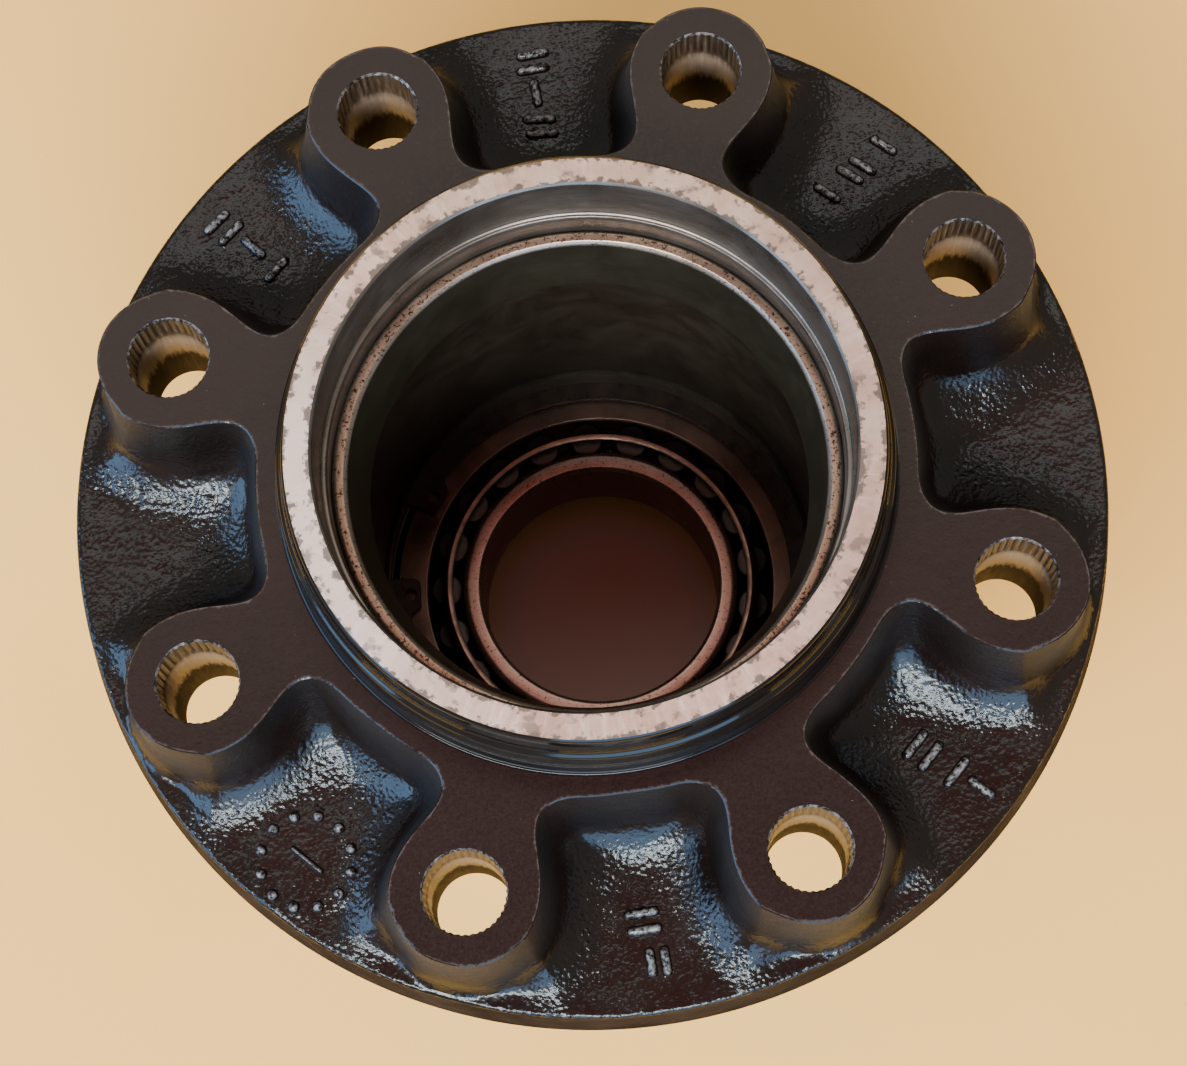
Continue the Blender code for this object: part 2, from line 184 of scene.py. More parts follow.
class Patches:
    """One piece's faces, in millimetres, each with the place of its material in the piece's list."""

    def __init__(self):
        self.points = []
        self.faces = []
        self.zones = []
        self.count = 0

    def add(self, points, faces, zone):
        self.points.append(np.asarray(points, float))
        self.faces.extend([tuple(int(v) + self.count for v in face) for face in faces])
        self.zones.extend([zone] * len(faces))
        self.count += len(points)

    def strip(self, rings, zones):
        """Quads between one closed ring and the next. zones is one zone, or one for each gap."""
        sides = len(rings[0])
        points = np.concatenate(rings)
        for row in range(len(rings) - 1):
            zone = zones if isinstance(zones, int) else zones[row]
            base = row * sides
            faces = [
                (base + k, base + (k + 1) % sides, base + sides + (k + 1) % sides, base + sides + k)
                for k in range(sides)
            ]
            self.faces.extend([tuple(v + self.count for v in face) for face in faces])
            self.zones.extend([zone] * sides)
        self.points.append(points)
        self.count += len(points)

    def fan(self, ring, tip, zone):
        sides = len(ring)
        points = np.vstack([ring, [tip]])
        self.add(points, [(k, (k + 1) % sides, sides) for k in range(sides)], zone)

    def build(self, name, materials, sharp_deg=32.0):
        """The welded object, in metres."""
        mesh = bpy.data.meshes.new(name)
        points = np.concatenate(self.points) * MM
        mesh.from_pydata(points.tolist(), [], self.faces)
        mesh.polygons.foreach_set("material_index", self.zones)
        bm = bmesh.new()
        bm.from_mesh(mesh)
        bmesh.ops.remove_doubles(bm, verts=bm.verts, dist=2e-6)
        bmesh.ops.dissolve_degenerate(bm, dist=1e-8, edges=bm.edges)
        loose = [vert for vert in bm.verts if not vert.link_faces]
        bmesh.ops.delete(bm, geom=loose, context="VERTS")
        bmesh.ops.recalc_face_normals(bm, faces=bm.faces)
        bm.to_mesh(mesh)
        bm.free()
        mesh.shade_smooth()
        mesh.set_sharp_from_angle(angle=radians(sharp_deg))
        for material in materials:
            mesh.materials.append(material)
        obj = bpy.data.objects.new(name, mesh)
        bpy.context.scene.collection.objects.link(obj)
        return obj


def full_turn(sides):
    return 2 * pi * np.arange(sides) / sides


def around(radius, turn, height=0.0, centre=(0.0, 0.0)):
    """Points at these radii, directions and heights round an upright axis."""
    x = centre[0] + radius * np.cos(turn)
    y = centre[1] + radius * np.sin(turn)
    return np.stack([x, y, height + 0.0 * turn], axis=1)


def circle(radius, height, sides, centre=(0.0, 0.0)):
    return around(radius, full_turn(sides), height, centre)


def flat_circle(radius, sides, centre=(0.0, 0.0)):
    return circle(radius, 0.0, sides, centre)[:, :2]


def turned(points, angle):
    """The points of the plane, turned anticlockwise round the origin."""
    return points @ np.array([[cos(angle), sin(angle)], [-sin(angle), cos(angle)]])


def ring_of_centres(radius, count, first=0.0):
    turns = [first + 2 * pi * k / count for k in range(count)]
    return [(radius * cos(turn), radius * sin(turn)) for turn in turns]


STUD_CENTRES = ring_of_centres(STUD_CIRCLE_R, STUD_COUNT, FIRST_STUD)
TAPPED_CENTRES = ring_of_centres(TAPPED_CIRCLE_R, TAPPED_COUNT)


def rounded(first, corner, last, steps):
    """Points on the curve from first to last that the corner pulls on."""
    for step in range(steps + 1):
        t = step / steps
        yield (1 - t) ** 2 * first + 2 * t * (1 - t) * corner + t * t * last


CORNER_STEPS = 4


def soften(profile):
    """The (radius, height) outline with rounded corners. A third number is how far a round reaches."""
    out = []
    for k, corner in enumerate(profile):
        here = np.array(corner[:2], float)
        reach = corner[2] if len(corner) > 2 else 0.0
        if reach == 0.0 or k in (0, len(profile) - 1):
            out.append(here)
            continue
        before = np.array(profile[k - 1][:2], float) - here
        after = np.array(profile[k + 1][:2], float) - here
        first = here + before * min(0.48, reach / np.linalg.norm(before))
        last = here + after * min(0.48, reach / np.linalg.norm(after))
        out.extend(rounded(first, here, last, CORNER_STEPS))
    return out


def turned_rings(profile, sides):
    return [circle(radius, height, sides) for radius, height in soften(profile)]


def plane_patch(loops, fill, keep):
    """Triangles of the plane that hold the closed loops' edges and the points in fill.

    keep says, from the triangles' middles, which of them stay.
    """
    points = []
    edges = []
    for loop in loops:
        start = len(points)
        points.extend(Vector(p) for p in loop)
        edges.extend((start + k, start + (k + 1) % len(loop)) for k in range(len(loop)))
    points.extend(Vector(p) for p in fill)
    verts, _, faces, *_ = delaunay_2d_cdt(points, edges, [], 0, 1e-6)
    xy = np.array(verts)
    triangles = np.array(faces)
    return xy, triangles[keep(xy[triangles].mean(axis=1))]


def hex_grid(spacing, reach):
    """Points of a honeycomb out to this far each way, the middle one at the origin."""
    rows = int(reach / (spacing * sqrt(3) / 2)) + 1
    columns = int(reach / spacing) + 1
    points = [
        ((c + 0.5 * (r % 2)) * spacing, r * spacing * sqrt(3) / 2)
        for r in range(-rows, rows + 1)
        for c in range(-columns, columns + 1)
    ]
    return np.array(points)


def ease(share):
    """The share held to 0..1, starting and ending softly."""
    share = np.clip(share, 0.0, 1.0)
    return share * share * (3 - 2 * share)


def lumps(x, y, size, seed):
    """Smooth noise from -1 to 1 whose lumps are this many millimetres across."""
    cells = int(2.2 * FLANGE_R / size) + 4
    lattice = np.random.default_rng(seed).uniform(-1, 1, (cells, cells))
    u = np.asarray(x) / size
    v = np.asarray(y) / size
    iu = np.floor(u).astype(int)
    iv = np.floor(v).astype(int)
    fu = ease(u - iu)
    fv = ease(v - iv)
    iu, next_u, iv, next_v = iu % cells, (iu + 1) % cells, iv % cells, (iv + 1) % cells
    low = lattice[iu, iv] * (1 - fu) + lattice[next_u, iv] * fu
    high = lattice[iu, next_v] * (1 - fu) + lattice[next_u, next_v] * fu
    return low * (1 - fv) + high * fv


def smooth_min(a, b, blend):
    """The lesser of the two, rounded off where they are within blend of each other."""
    near = np.maximum(blend - np.abs(a - b), 0.0) / blend
    return np.minimum(a, b) - near * near * blend / 4


# ---------------------------------------------------------------- star of arms


def along_arm(x, y):
    """The place along and across the nearest arm."""
    pitch = 2 * pi / STUD_COUNT
    off = (np.arctan2(y, x) - FIRST_STUD + pitch / 2) % pitch - pitch / 2
    radius = np.hypot(x, y)
    return radius * np.cos(off), radius * np.sin(off)


def star_distance(x, y):
    """Distance outwards from the star's edge at the boss plane: below 0 on the star's face."""
    along, across = along_arm(x, y)
    core = np.hypot(x, y) - STAR_CORE_R
    neck = np.maximum(np.abs(across) - NECK_HALF_WIDTH, along - STUD_CIRCLE_R)
    boss = np.hypot(along - STUD_CIRCLE_R, across) - BOSS_R
    past_edge = np.clip(np.minimum(core, neck) - SPREAD_START, 0.0, SPREAD_REACH)
    spread = CORNER_SPREAD * past_edge * past_edge / (past_edge + SPREAD_SOFTNESS)
    joined = smooth_min(smooth_min(core, neck, CORE_BLEND + spread), boss, BOSS_BLEND)
    return joined + EDGE_WAVER * lumps(x, y, size=9.0, seed=3)


# Raised foundry marks on the pocket floors, as plain rounded bars: middle, direction in degrees, half length.
MARKS = [
    ((-0.3, 93.6), 4.0, 2.4),
    ((-0.6, 90.4), 4.0, 2.4),
    ((-0.6, 85.2), 94.0, 2.2),
    ((-0.6, 79.4), -5.0, 2.4),
    ((-0.4, 76.2), -5.0, 2.4),
    ((54.6, 56.0), -42.0, 2.2),
    ((59.6, 59.2), -40.0, 2.2),
    ((62.4, 60.8), -40.0, 2.2),
    ((67.2, 64.6), -42.0, 2.2),
    ((-67.4, 66.0), 40.0, 2.4),
    ((-64.8, 63.4), 40.0, 2.4),
    ((-60.6, 59.8), 132.0, 2.2),
    ((-56.4, 54.6), 42.0, 2.4),
    ((55.4, -56.4), 44.0, 2.6),
    ((58.0, -59.0), 44.0, 2.6),
    ((62.4, -62.6), 44.0, 2.6),
    ((66.6, -66.2), -46.0, 2.2),
    ((-0.2, -81.6), 2.0, 2.4),
    ((0.0, -84.8), 2.0, 2.4),
    ((0.4, -91.0), 92.0, 1.9),
    ((3.2, -91.0), 92.0, 1.9),
]
MARK_HALF_WIDTH = 1.05
MARK_HEIGHT = 1.15
DIAL_CENTRE = (-62.0, -64.1)
DIAL_R = 8.8
DIAL_DOTS = 12
DIAL_DOT_R = 1.2
DIAL_BAR = ((-61.8, -63.8), -46.0, 3.4)
DIAL_PLATE_R = 11.0
DIAL_PLATE_RISE = 0.25


def marks():
    """Every raised mark as (middle, turn, half length, half width): bars, then the dial."""
    for middle, turn_deg, half_length in MARKS:
        yield middle, radians(turn_deg), half_length, MARK_HALF_WIDTH
    for k in range(DIAL_DOTS):
        angle = 2 * pi * (k + 0.3) / DIAL_DOTS
        dot = (DIAL_CENTRE[0] + DIAL_R * cos(angle), DIAL_CENTRE[1] + DIAL_R * sin(angle))
        yield dot, 0.0, 0.0, DIAL_DOT_R
    middle, turn_deg, half_length = DIAL_BAR
    yield middle, radians(turn_deg), half_length, 0.6 * MARK_HALF_WIDTH


def mark_height(x, y):
    """How far the marks stand up, each with a round back."""
    raised = np.zeros_like(x)
    for middle, turn, half_length, half_width in marks():
        along = (x - middle[0]) * cos(turn) + (y - middle[1]) * sin(turn)
        across = (y - middle[1]) * cos(turn) - (x - middle[0]) * sin(turn)
        past = np.maximum(np.abs(along) - half_length, 0.0)
        share = np.clip(np.hypot(past, across) / half_width, 0.0, 1.0)
        height = MARK_HEIGHT * half_width / MARK_HALF_WIDTH
        raised = np.maximum(raised, height * (1 - share * share) ** 0.8)
    return raised


def mark_points():
    """Extra points on and round the marks, close enough to hold their backs."""
    reaches = (0.3, 0.6, 0.85, 1.0, 1.3)
    both_ways = (*(-reach for reach in reversed(reaches)), 0.0, *reaches)
    half_turn = pi * np.arange(9) / 8 - pi / 2
    points = []
    for middle, turn, half_length, half_width in marks():
        for reach in reaches:
            cap = turned(around(reach * half_width, half_turn, centre=(half_length, 0.0))[:, :2], turn)
            points.append(np.array(middle) + cap)
            points.append(np.array(middle) - cap)
        for reach in both_ways:
            along = np.arange(-half_length, half_length + 0.01, 0.5)
            side = np.stack([along, np.full(len(along), reach * half_width)], 1)
            points.append(np.array(middle) + turned(side, turn))
    return np.concatenate(points)


def flange_height(x, y):
    """Height of the flange's inboard side: the star's flat face, its walls and the pebbly pocket floors."""
    outside = star_distance(x, y)
    along, across = along_arm(x, y)
    past_stud = np.clip((along - OUTER_SIDE_START) / OUTER_SIDE_FADE, 0.0, 1.0)
    beside = np.clip((OUTER_SIDE_HALF_WIDTH - np.abs(across)) / OUTER_SIDE_BLUR, 0.0, 1.0)
    outer_side = ease(past_stud * beside)
    wall_width = WALL_WIDTH + WALL_WAVER * lumps(x, y, size=19.0, seed=5)
    width = wall_width * (1 - outer_side) + BOSS_WALL_WIDTH * outer_side
    share = np.clip((outside - EDGE_WIDTH) / width, 0.0, 1.0)
    fall = BOSS_TOP_Z - EDGE_DROP - POCKET_FLOOR_Z
    steep = 1 - (1 - np.clip(share / STEEP_SHARE, 0.0, 1.0)) ** 2
    gentle = 1 - (1 - share) ** GENTLE_CURVE
    height = BOSS_TOP_Z - EDGE_DROP - fall * (STEEP_DROP * steep + (1 - STEEP_DROP) * gentle)
    edge = BOSS_TOP_Z - EDGE_DROP * np.clip(outside / EDGE_WIDTH, 0.0, 1.0)
    height = np.where(outside < EDGE_WIDTH, edge, height)
    cast = np.clip((outside - 1.2) / 3.0, 0.0, 1.0)
    floor = np.clip((outside - 6.0) / 5.0, 0.0, 1.0)
    height += cast * (0.24 * lumps(x, y, size=15.0, seed=7) + 0.05 * lumps(x, y, size=4.3, seed=8))
    height += floor * (0.045 * lumps(x, y, size=2.3, seed=9) + 0.05 * lumps(x, y, size=1.3, seed=10))
    plate = np.hypot(x - DIAL_CENTRE[0], y - DIAL_CENTRE[1])
    height += DIAL_PLATE_RISE * np.clip((DIAL_PLATE_R - plate) / 0.5, 0.0, 1.0) * floor
    return height + mark_height(x, y)


def star_outline():
    """Points near the star's edge, in order round it."""
    neck_half = np.arcsin(NECK_HALF_WIDTH / STAR_CORE_R)
    boss_half = pi - np.arcsin(NECK_HALF_WIDTH / BOSS_R)
    pitch = 2 * pi / STUD_COUNT
    side = []
    for turn in np.linspace(pitch / 2, neck_half, 20)[:-1]:
        side.append((STAR_CORE_R * cos(turn), STAR_CORE_R * sin(turn)))
    neck_end = STUD_CIRCLE_R + BOSS_R * cos(boss_half)
    for along in np.linspace(STAR_CORE_R * cos(neck_half), neck_end, 12)[:-1]:
        side.append((along, NECK_HALF_WIDTH))
    for turn in np.linspace(boss_half, 0.0, 40):
        side.append((STUD_CIRCLE_R + BOSS_R * cos(turn), BOSS_R * sin(turn)))
    side = np.array(side)
    lower = side[:-1] * (1.0, -1.0)
    arm = np.concatenate([lower, side[::-1][:-1]])
    return np.concatenate([turned(arm, FIRST_STUD + k * pitch) for k in range(STUD_COUNT)])


def onto_level(points, level):
    """The points moved to where the star's distance is this level."""
    delta = 0.02
    for _ in range(6):
        x, y = points.T
        slope_x = (star_distance(x + delta, y) - star_distance(x - delta, y)) / (2 * delta)
        slope_y = (star_distance(x, y + delta) - star_distance(x, y - delta)) / (2 * delta)
        steep = np.maximum(slope_x**2 + slope_y**2, 0.25)
        move = np.clip((level - star_distance(x, y)) / steep, -1.0, 1.0)
        points = points + np.stack([slope_x * move, slope_y * move], axis=1)
    return points


def evened(points, spacing):
    """The closed outline with its points spread evenly along it."""
    closed = np.vstack([points, points[:1]])
    length = np.concatenate([[0.0], np.cumsum(np.linalg.norm(np.diff(closed, axis=0), axis=1))])
    count = int(length[-1] / spacing)
    at = np.linspace(0.0, length[-1], count, endpoint=False)
    return np.stack([np.interp(at, length, closed[:, 0]), np.interp(at, length, closed[:, 1])], axis=1)


def star_contours():
    """Outlines at growing distances from the star's edge, which carry its walls."""
    contours = []
    outline = onto_level(star_outline(), 0.0)
    for level in CONTOUR_LEVELS:
        outline = evened(onto_level(outline, level), 0.70 + 0.03 * level)
        contours.append(onto_level(outline, level))
    return contours


def rim_radius(height):
    """The drafted rim's radius at a height."""
    return FLANGE_R - np.maximum(height - RIM_BOTTOM_Z, 0.0) * RIM_DRAFT


def rim_crossing():
    """For each direction, where the flange's inboard side would meet the conical rim."""
    turn = full_turn(RIM_SIDES)
    low = np.full(RIM_SIDES, FLANGE_R - 8.0)
    high = np.full(RIM_SIDES, FLANGE_R)
    for _ in range(40):
        middle = (low + high) / 2
        height = flange_height(middle * np.cos(turn), middle * np.sin(turn))
        inside = middle < rim_radius(height)
        low = np.where(inside, middle, low)
        high = np.where(inside, high, middle)
    return turn, low


def chord_radius(turn, radii):
    """Radius of the polygon through these radii, in this direction."""
    step = 2 * pi / len(radii)
    place = (turn % (2 * pi)) / step
    first = np.floor(place).astype(int) % len(radii)
    second = (first + 1) % len(radii)
    past = (place - np.floor(place)) * step
    near, far = radii[first], radii[second]
    return near * far * sin(step) / (near * np.sin(past) + far * np.sin(step - past))


def clear_of(points, centres, distance):
    """Where the points are further than this from every centre."""
    clear = np.ones(len(points), bool)
    for centre in centres:
        clear &= np.hypot(*(points - centre).T) > distance
    return clear


def add_flange_top(hub, zones):
    """The star's face, its walls and the pocket floors. Returns the outer ring."""
    turn, crossing = rim_crossing()
    edge_r = crossing - RIM_ROUND
    outer = around(edge_r, turn)[:, :2]
    inner = flat_circle(STAR_INNER_R, BARREL_SIDES)
    holes = [flat_circle(STUD_LIP_R, STUD_HOLE_SIDES, centre) for centre in STUD_CENTRES]
    contours = star_contours()

    def inside_rim(points, margin):
        x, y = points.T
        return np.hypot(x, y) < chord_radius(np.arctan2(y, x), edge_r) - margin

    def keep(middles):
        off_ring = np.hypot(*middles.T) > 0.97 * STAR_INNER_R
        return off_ring & inside_rim(middles, 0.0) & clear_of(middles, STUD_CENTRES, 0.95 * STUD_LIP_R)

    free = [contour[inside_rim(contour, 0.35)] for contour in contours[2:]]
    grid = hex_grid(FLOOR_GRID, FLANGE_R)
    free.append(grid[(star_distance(*grid.T) > FLOOR_START) & inside_rim(grid, 0.6)])
    grid = hex_grid(FACE_GRID, FLANGE_R)
    on_face = (star_distance(*grid.T) < -1.3) & (np.hypot(*grid.T) > STAR_INNER_R + 0.9)
    free.append(grid[on_face & clear_of(grid, STUD_CENTRES, STUD_LIP_R + 0.9)])
    free.append(mark_points())
    free.append(np.array([(0.0, 0.0), *STUD_CENTRES]))
    xy, triangles = plane_patch([outer, inner, *holes, *contours[:2]], np.concatenate(free), keep)
    height = flange_height(*xy.T)
    height[star_distance(*xy.T) < 1e-4] = BOSS_TOP_Z
    points = np.column_stack([xy, height])
    on_paint = star_distance(*xy[triangles].mean(axis=1).T) > 0.0
    hub.add(points, triangles[~on_paint], zones["face"])
    hub.add(points, triangles[on_paint], zones["paint"])
    return np.column_stack([outer, flange_height(*outer.T)]), turn, crossing


def add_rim(hub, zones, ring, turn, crossing):
    """The rounded edge and the drafted rim, down to the flange's outboard face."""
    edge_z = flange_height(crossing * np.cos(turn), crossing * np.sin(turn))
    low_z = edge_z - RIM_ROUND
    corner = np.column_stack([crossing, edge_z])
    first = np.column_stack([np.hypot(ring[:, 0], ring[:, 1]), ring[:, 2]])
    last = np.column_stack([rim_radius(low_z), low_z])
    edge = list(rounded(first, corner, last, 5))[1:]
    rings = [ring] + [around(radius, turn, height) for radius, height in (row.T for row in edge)]
    for share in (0.12, 0.25, 0.4, 0.55, 0.7, 0.85, 1.0):
        height = low_z + (RIM_BOTTOM_Z - low_z) * share
        dent = RIM_DENT * (1 + lumps(turn * FLANGE_R, height, size=2.6, seed=12)) * (share < 1.0)
        rings.append(around(rim_radius(height) - dent, turn, height))
    rings.append(circle(FLANGE_R - 0.25, FLANGE_BOTTOM_Z + 0.25, RIM_SIDES))
    rings.append(circle(FLANGE_R - RIM_CHAMFER, FLANGE_BOTTOM_Z, RIM_SIDES))
    hub.strip(rings, [zones["paint"]] * 4 + [zones["outer_paint"]] * (len(rings) - 5))


def add_holed_face(hub, zone, height, edges, holes, spacing, margins):
    """A flat ring with round holes.

    edges is the inner radius and the outer outline, holes is (centres, radius, sides), and margins keep the
    grid of this spacing clear of the inner edge, the outer edge and the holes.
    """
    inner_r, outer = edges
    outer_r = outer[0, 0]
    centres, hole_r, hole_sides = holes
    outlines = [flat_circle(hole_r, hole_sides, centre) for centre in centres]
    grid = hex_grid(spacing, outer_r)
    radius = np.hypot(*grid.T)
    free = (radius > inner_r + margins[0]) & (radius < outer_r - margins[1])
    free &= clear_of(grid, centres, hole_r + margins[2])
    fill = np.concatenate([grid[free], [(0.0, 0.0), *centres]])

    def keep(middles):
        return (np.hypot(*middles.T) > 0.97 * inner_r) & clear_of(middles, centres, 0.95 * hole_r)

    xy, triangles = plane_patch([outer, flat_circle(inner_r, BARREL_SIDES), *outlines], fill, keep)
    hub.add(np.column_stack([xy, np.full(len(xy), height)]), triangles, zone)


def add_flange_bottom(hub, zones):
    """The machined face that the wheel bolts against."""
    edges = (FLANGE_BOTTOM_INNER_R, flat_circle(FLANGE_R - RIM_CHAMFER, RIM_SIDES))
    holes = (STUD_CENTRES, STUD_LIP_R, STUD_HOLE_SIDES)
    add_holed_face(hub, zones["machined"], FLANGE_BOTTOM_Z, edges, holes, 3.5, (1.5, 1.7, 1.5))


def add_end_face(hub, zones):
    """The outboard end face, which the axle shaft's flange bolts to."""
    edges = (END_INNER_R, flat_circle(END_OUTER_R, BARREL_SIDES))
    holes = (TAPPED_CENTRES, TAPPED_MOUTH_R, TAPPED_SIDES)
    add_holed_face(hub, zones["machined"], 0.0, edges, holes, 3.0, (1.2, 1.2, 1.0))


def add_stud_hole(hub, zones, centre, seed):
    """A stud's bore, with the marks that its knurl left near the top."""
    angle = full_turn(STUD_HOLE_SIDES)
    tooth = np.abs((angle * KNURL_TEETH / (2 * pi)) % 1.0 - 0.5) * 2
    uneven = 0.75 + 0.25 * np.sin(angle + seed)
    rows = [
        (BOSS_TOP_Z, STUD_HOLE_LIP, 0.0),
        (BOSS_TOP_Z - 0.2, 0.32, 0.15),
        (BOSS_TOP_Z - 0.5, 0.06, 0.6),
        (BOSS_TOP_Z - 0.9, 0.0, 1.0),
        (BOSS_TOP_Z - 7.0, 0.0, 0.9),
        (BOSS_TOP_Z - 8.5, 0.0, 0.35),
        (BOSS_TOP_Z - 9.0, STUD_SHANK_LIP, 0.0),
        (BOSS_TOP_Z - 20.0, STUD_SHANK_LIP, 0.0),
        (FLANGE_BOTTOM_Z + 0.6, STUD_SHANK_LIP, 0.0),
        (FLANGE_BOTTOM_Z, STUD_HOLE_LIP, 0.0),
    ]
    rings = [
        around(STUD_HOLE_R + lip + KNURL_DEPTH * knurl * tooth * uneven, angle, height, centre)
        for height, lip, knurl in rows
    ]
    hub.strip(rings, [zones["lip"]] * 2 + [zones["stud_hole"]] * (len(rows) - 3))


def add_tapped_hole(hub, zones, centre):
    """A threaded blind hole in the end face."""
    angle = full_turn(TAPPED_SIDES)
    rings = [circle(TAPPED_MOUTH_R, 0.0, TAPPED_SIDES, centre)]
    for height in np.arange(1.0, THREAD_END_Z, THREAD_PITCH / 4):
        groove = np.abs((height / THREAD_PITCH - angle / (2 * pi)) % 1.0 - 0.5) * 2
        fade = min(1.0, (THREAD_END_Z - height) / 2.0)
        radius = TAPPED_MINOR_R + THREAD_DEPTH * fade * np.clip(groove * 1.25 - 0.15, 0.0, 1.0)
        rings.append(around(radius, angle, height, centre))
    rings.append(circle(TAPPED_MINOR_R, THREAD_END_Z + 0.5, TAPPED_SIDES, centre))
    rings.append(circle(TAPPED_MINOR_R, TAPPED_END_Z, TAPPED_SIDES, centre))
    hub.strip(rings, zones["stud_hole"])
    hub.fan(rings[-1], (*centre, DRILL_TIP_Z), zones["stud_hole"])


def add_turned_sides(hub, zones):
    """Everything on the hub that is turned round the spindle axis."""
    ring_wall = [
        (STAR_INNER_R, BOSS_TOP_Z),
        (58.1, 145.05, 0.25),
        (57.9, 146.3, 0.3),
        (57.3, 147.4, 0.3),
        (57.25, 150.6, 0.2),
        (57.45, 151.1, 0.2),
        (57.2, 155.2, 0.5),
        (56.1, 156.2, 0.5),
        (55.7, 160.6, 0.4),
        (55.35, HUB_TOP_Z - 0.55, 0.35),
        (RING_FACE_OUTER_R, HUB_TOP_Z),
    ]
    ring_face = [(RING_FACE_OUTER_R, HUB_TOP_Z), (RING_FACE_INNER_R, HUB_TOP_Z)]
    seal_bore = [
        (RING_FACE_INNER_R, HUB_TOP_Z),
        (SEAL_BORE_R, HUB_TOP_Z - 0.6, 0.3),
        (SEAL_BORE_R, 147.75, 0.15),
        (49.25, 147.5, 0.1),
        (48.8, 147.45, 0.15),
        (INNER_SEAT_R, 146.9, 0.2),
        (INNER_SEAT_R, 140.0),
    ]
    cavity = [
        (INNER_SEAT_R, 140.0),
        (INNER_SEAT_R, INNER_SEAT_Z),
        (CAVITY_R, INNER_SEAT_Z, 0.5),
        (CAVITY_R - 0.3, 118.0, 0.6),
        (CAVITY_R, 90.0, 0.8),
        (CAVITY_R - 0.4, 72.0, 0.8),
        (CAVITY_R, CAVITY_BOTTOM_Z + 1.0, 0.5),
        (OUTER_SEAT_R, CAVITY_BOTTOM_Z, 0.3),
    ]
    outer_seat = [
        (OUTER_SEAT_R, CAVITY_BOTTOM_Z),
        (OUTER_SEAT_R, GROOVE_TOP_Z),
        (GROOVE_R, GROOVE_TOP_Z),
        (GROOVE_R, GROOVE_BOTTOM_Z),
        (OUTER_SEAT_R, GROOVE_BOTTOM_Z),
        (OUTER_SEAT_R, OUTER_SEAT_Z),
        (SHOULDER_R, OUTER_SEAT_Z),
        (SHOULDER_R, 17.6, 0.6),
        (MOUTH_R, 15.0, 0.8),
        (MOUTH_R, 1.0, 0.3),
        (END_INNER_R, 0.0),
    ]
    sides = [
        ("ring_wall", ring_wall),
        ("ring_face", ring_face),
        ("bore", seal_bore),
        ("cavity", cavity),
        ("bore", outer_seat),
    ]
    for zone, profile in sides:
        hub.strip(turned_rings(profile, BARREL_SIDES), zones[zone])


def add_barrel(hub, zones):
    """The barrel: rough and painted between two machined lands, of which the upper is the pilot."""
    barrel = [
        (END_OUTER_R, 0.0),
        (PILOT_R, 1.0, 0.4),
        (PILOT_R, 22.0, 0.8),
        (BARREL_R, 24.0, 1.2),
        (BARREL_R - 0.1, 60.0, 4.0),
        (BARREL_R + 0.1, 95.0, 1.2),
        (PILOT_R, 96.5, 0.4),
        (PILOT_R, 110.9, 0.3),
        (FLANGE_BOTTOM_INNER_R, FLANGE_BOTTOM_Z),
    ]
    rings = turned_rings(barrel, BARREL_SIDES)
    is_land = [ring[0, 0] > PILOT_R - 0.3 for ring in rings[:-1]]
    hub.strip(rings, [zones["machined"] if land else zones["outer_paint"] for land in is_land])


def make_hub(materials):
    zones = {name: place for place, name in enumerate(materials)}
    hub = Patches()
    ring, turn, crossing = add_flange_top(hub, zones)
    add_rim(hub, zones, ring, turn, crossing)
    add_flange_bottom(hub, zones)
    add_end_face(hub, zones)
    for number, centre in enumerate(STUD_CENTRES):
        add_stud_hole(hub, zones, centre, 1.7 * number)
    for centre in TAPPED_CENTRES:
        add_tapped_hole(hub, zones, centre)
    add_turned_sides(hub, zones)
    add_barrel(hub, zones)
    piece = hub.build("hub_casting", list(materials.values()), 30.0)
    note_places(piece)
    place_piece(piece, "hub", "hub")


OFF_STAR = 50.0


def note_places(piece):
    """Writes, for the materials, where each point lies.

    star_distance is its distance from the star's edge, mark_rise how far it stands up on a mark, and
    knurl_cut how deep it lies in a knurl mark.
    """
    mesh = piece.data
    points = np.empty(len(mesh.vertices) * 3, np.float32)
    mesh.vertices.foreach_get("co", points)
    x, y, z = points.reshape(-1, 3).astype(float).T / MM
    off_top = (z < POCKET_FLOOR_Z - 2.0) | (z > BOSS_TOP_Z + 0.01) | (np.hypot(x, y) < STAR_INNER_R - 0.01)
    away = np.where(off_top, OFF_STAR, star_distance(x, y))
    raised = mark_height(x, y) * (z > POCKET_FLOOR_Z - 1.0) / MARK_HEIGHT
    centres = np.array(STUD_CENTRES)
    from_stud = np.hypot(x[:, None] - centres[:, 0], y[:, None] - centres[:, 1]).min(axis=1)
    cut = np.clip((from_stud - STUD_HOLE_R) / (0.6 * KNURL_DEPTH), 0.0, 1.0) * (z > BOSS_TOP_Z - 8.8)
    for name, values in (("star_distance", away), ("mark_rise", raised), ("knurl_cut", cut)):
        attribute = mesh.attributes.new(name, "FLOAT", "POINT")
        attribute.data.foreach_set("value", values.astype(np.float32))


# ---------------------------------------------------------------- bearings


def place_piece(piece, node, body):
    """Lets the piece stand for a CAD node and move with its body."""
    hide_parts(node)
    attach(piece, body)


def turned_piece(name, profile, zone_of, materials):
    """A closed turned piece. zone_of gives a face row's material from its middle (radius, height)."""
    outline = soften([profile[0][:2], *profile[1:], profile[0][:2]])
    rings = [circle(radius, height, RACE_SIDES) for radius, height in outline]
    rows = [zone_of((a[0] + b[0]) / 2, (a[1] + b[1]) / 2) for a, b in zip(outline, outline[1:])]
    piece = Patches()
    piece.strip(rings, rows)
    return piece.build(name, materials, 30.0)


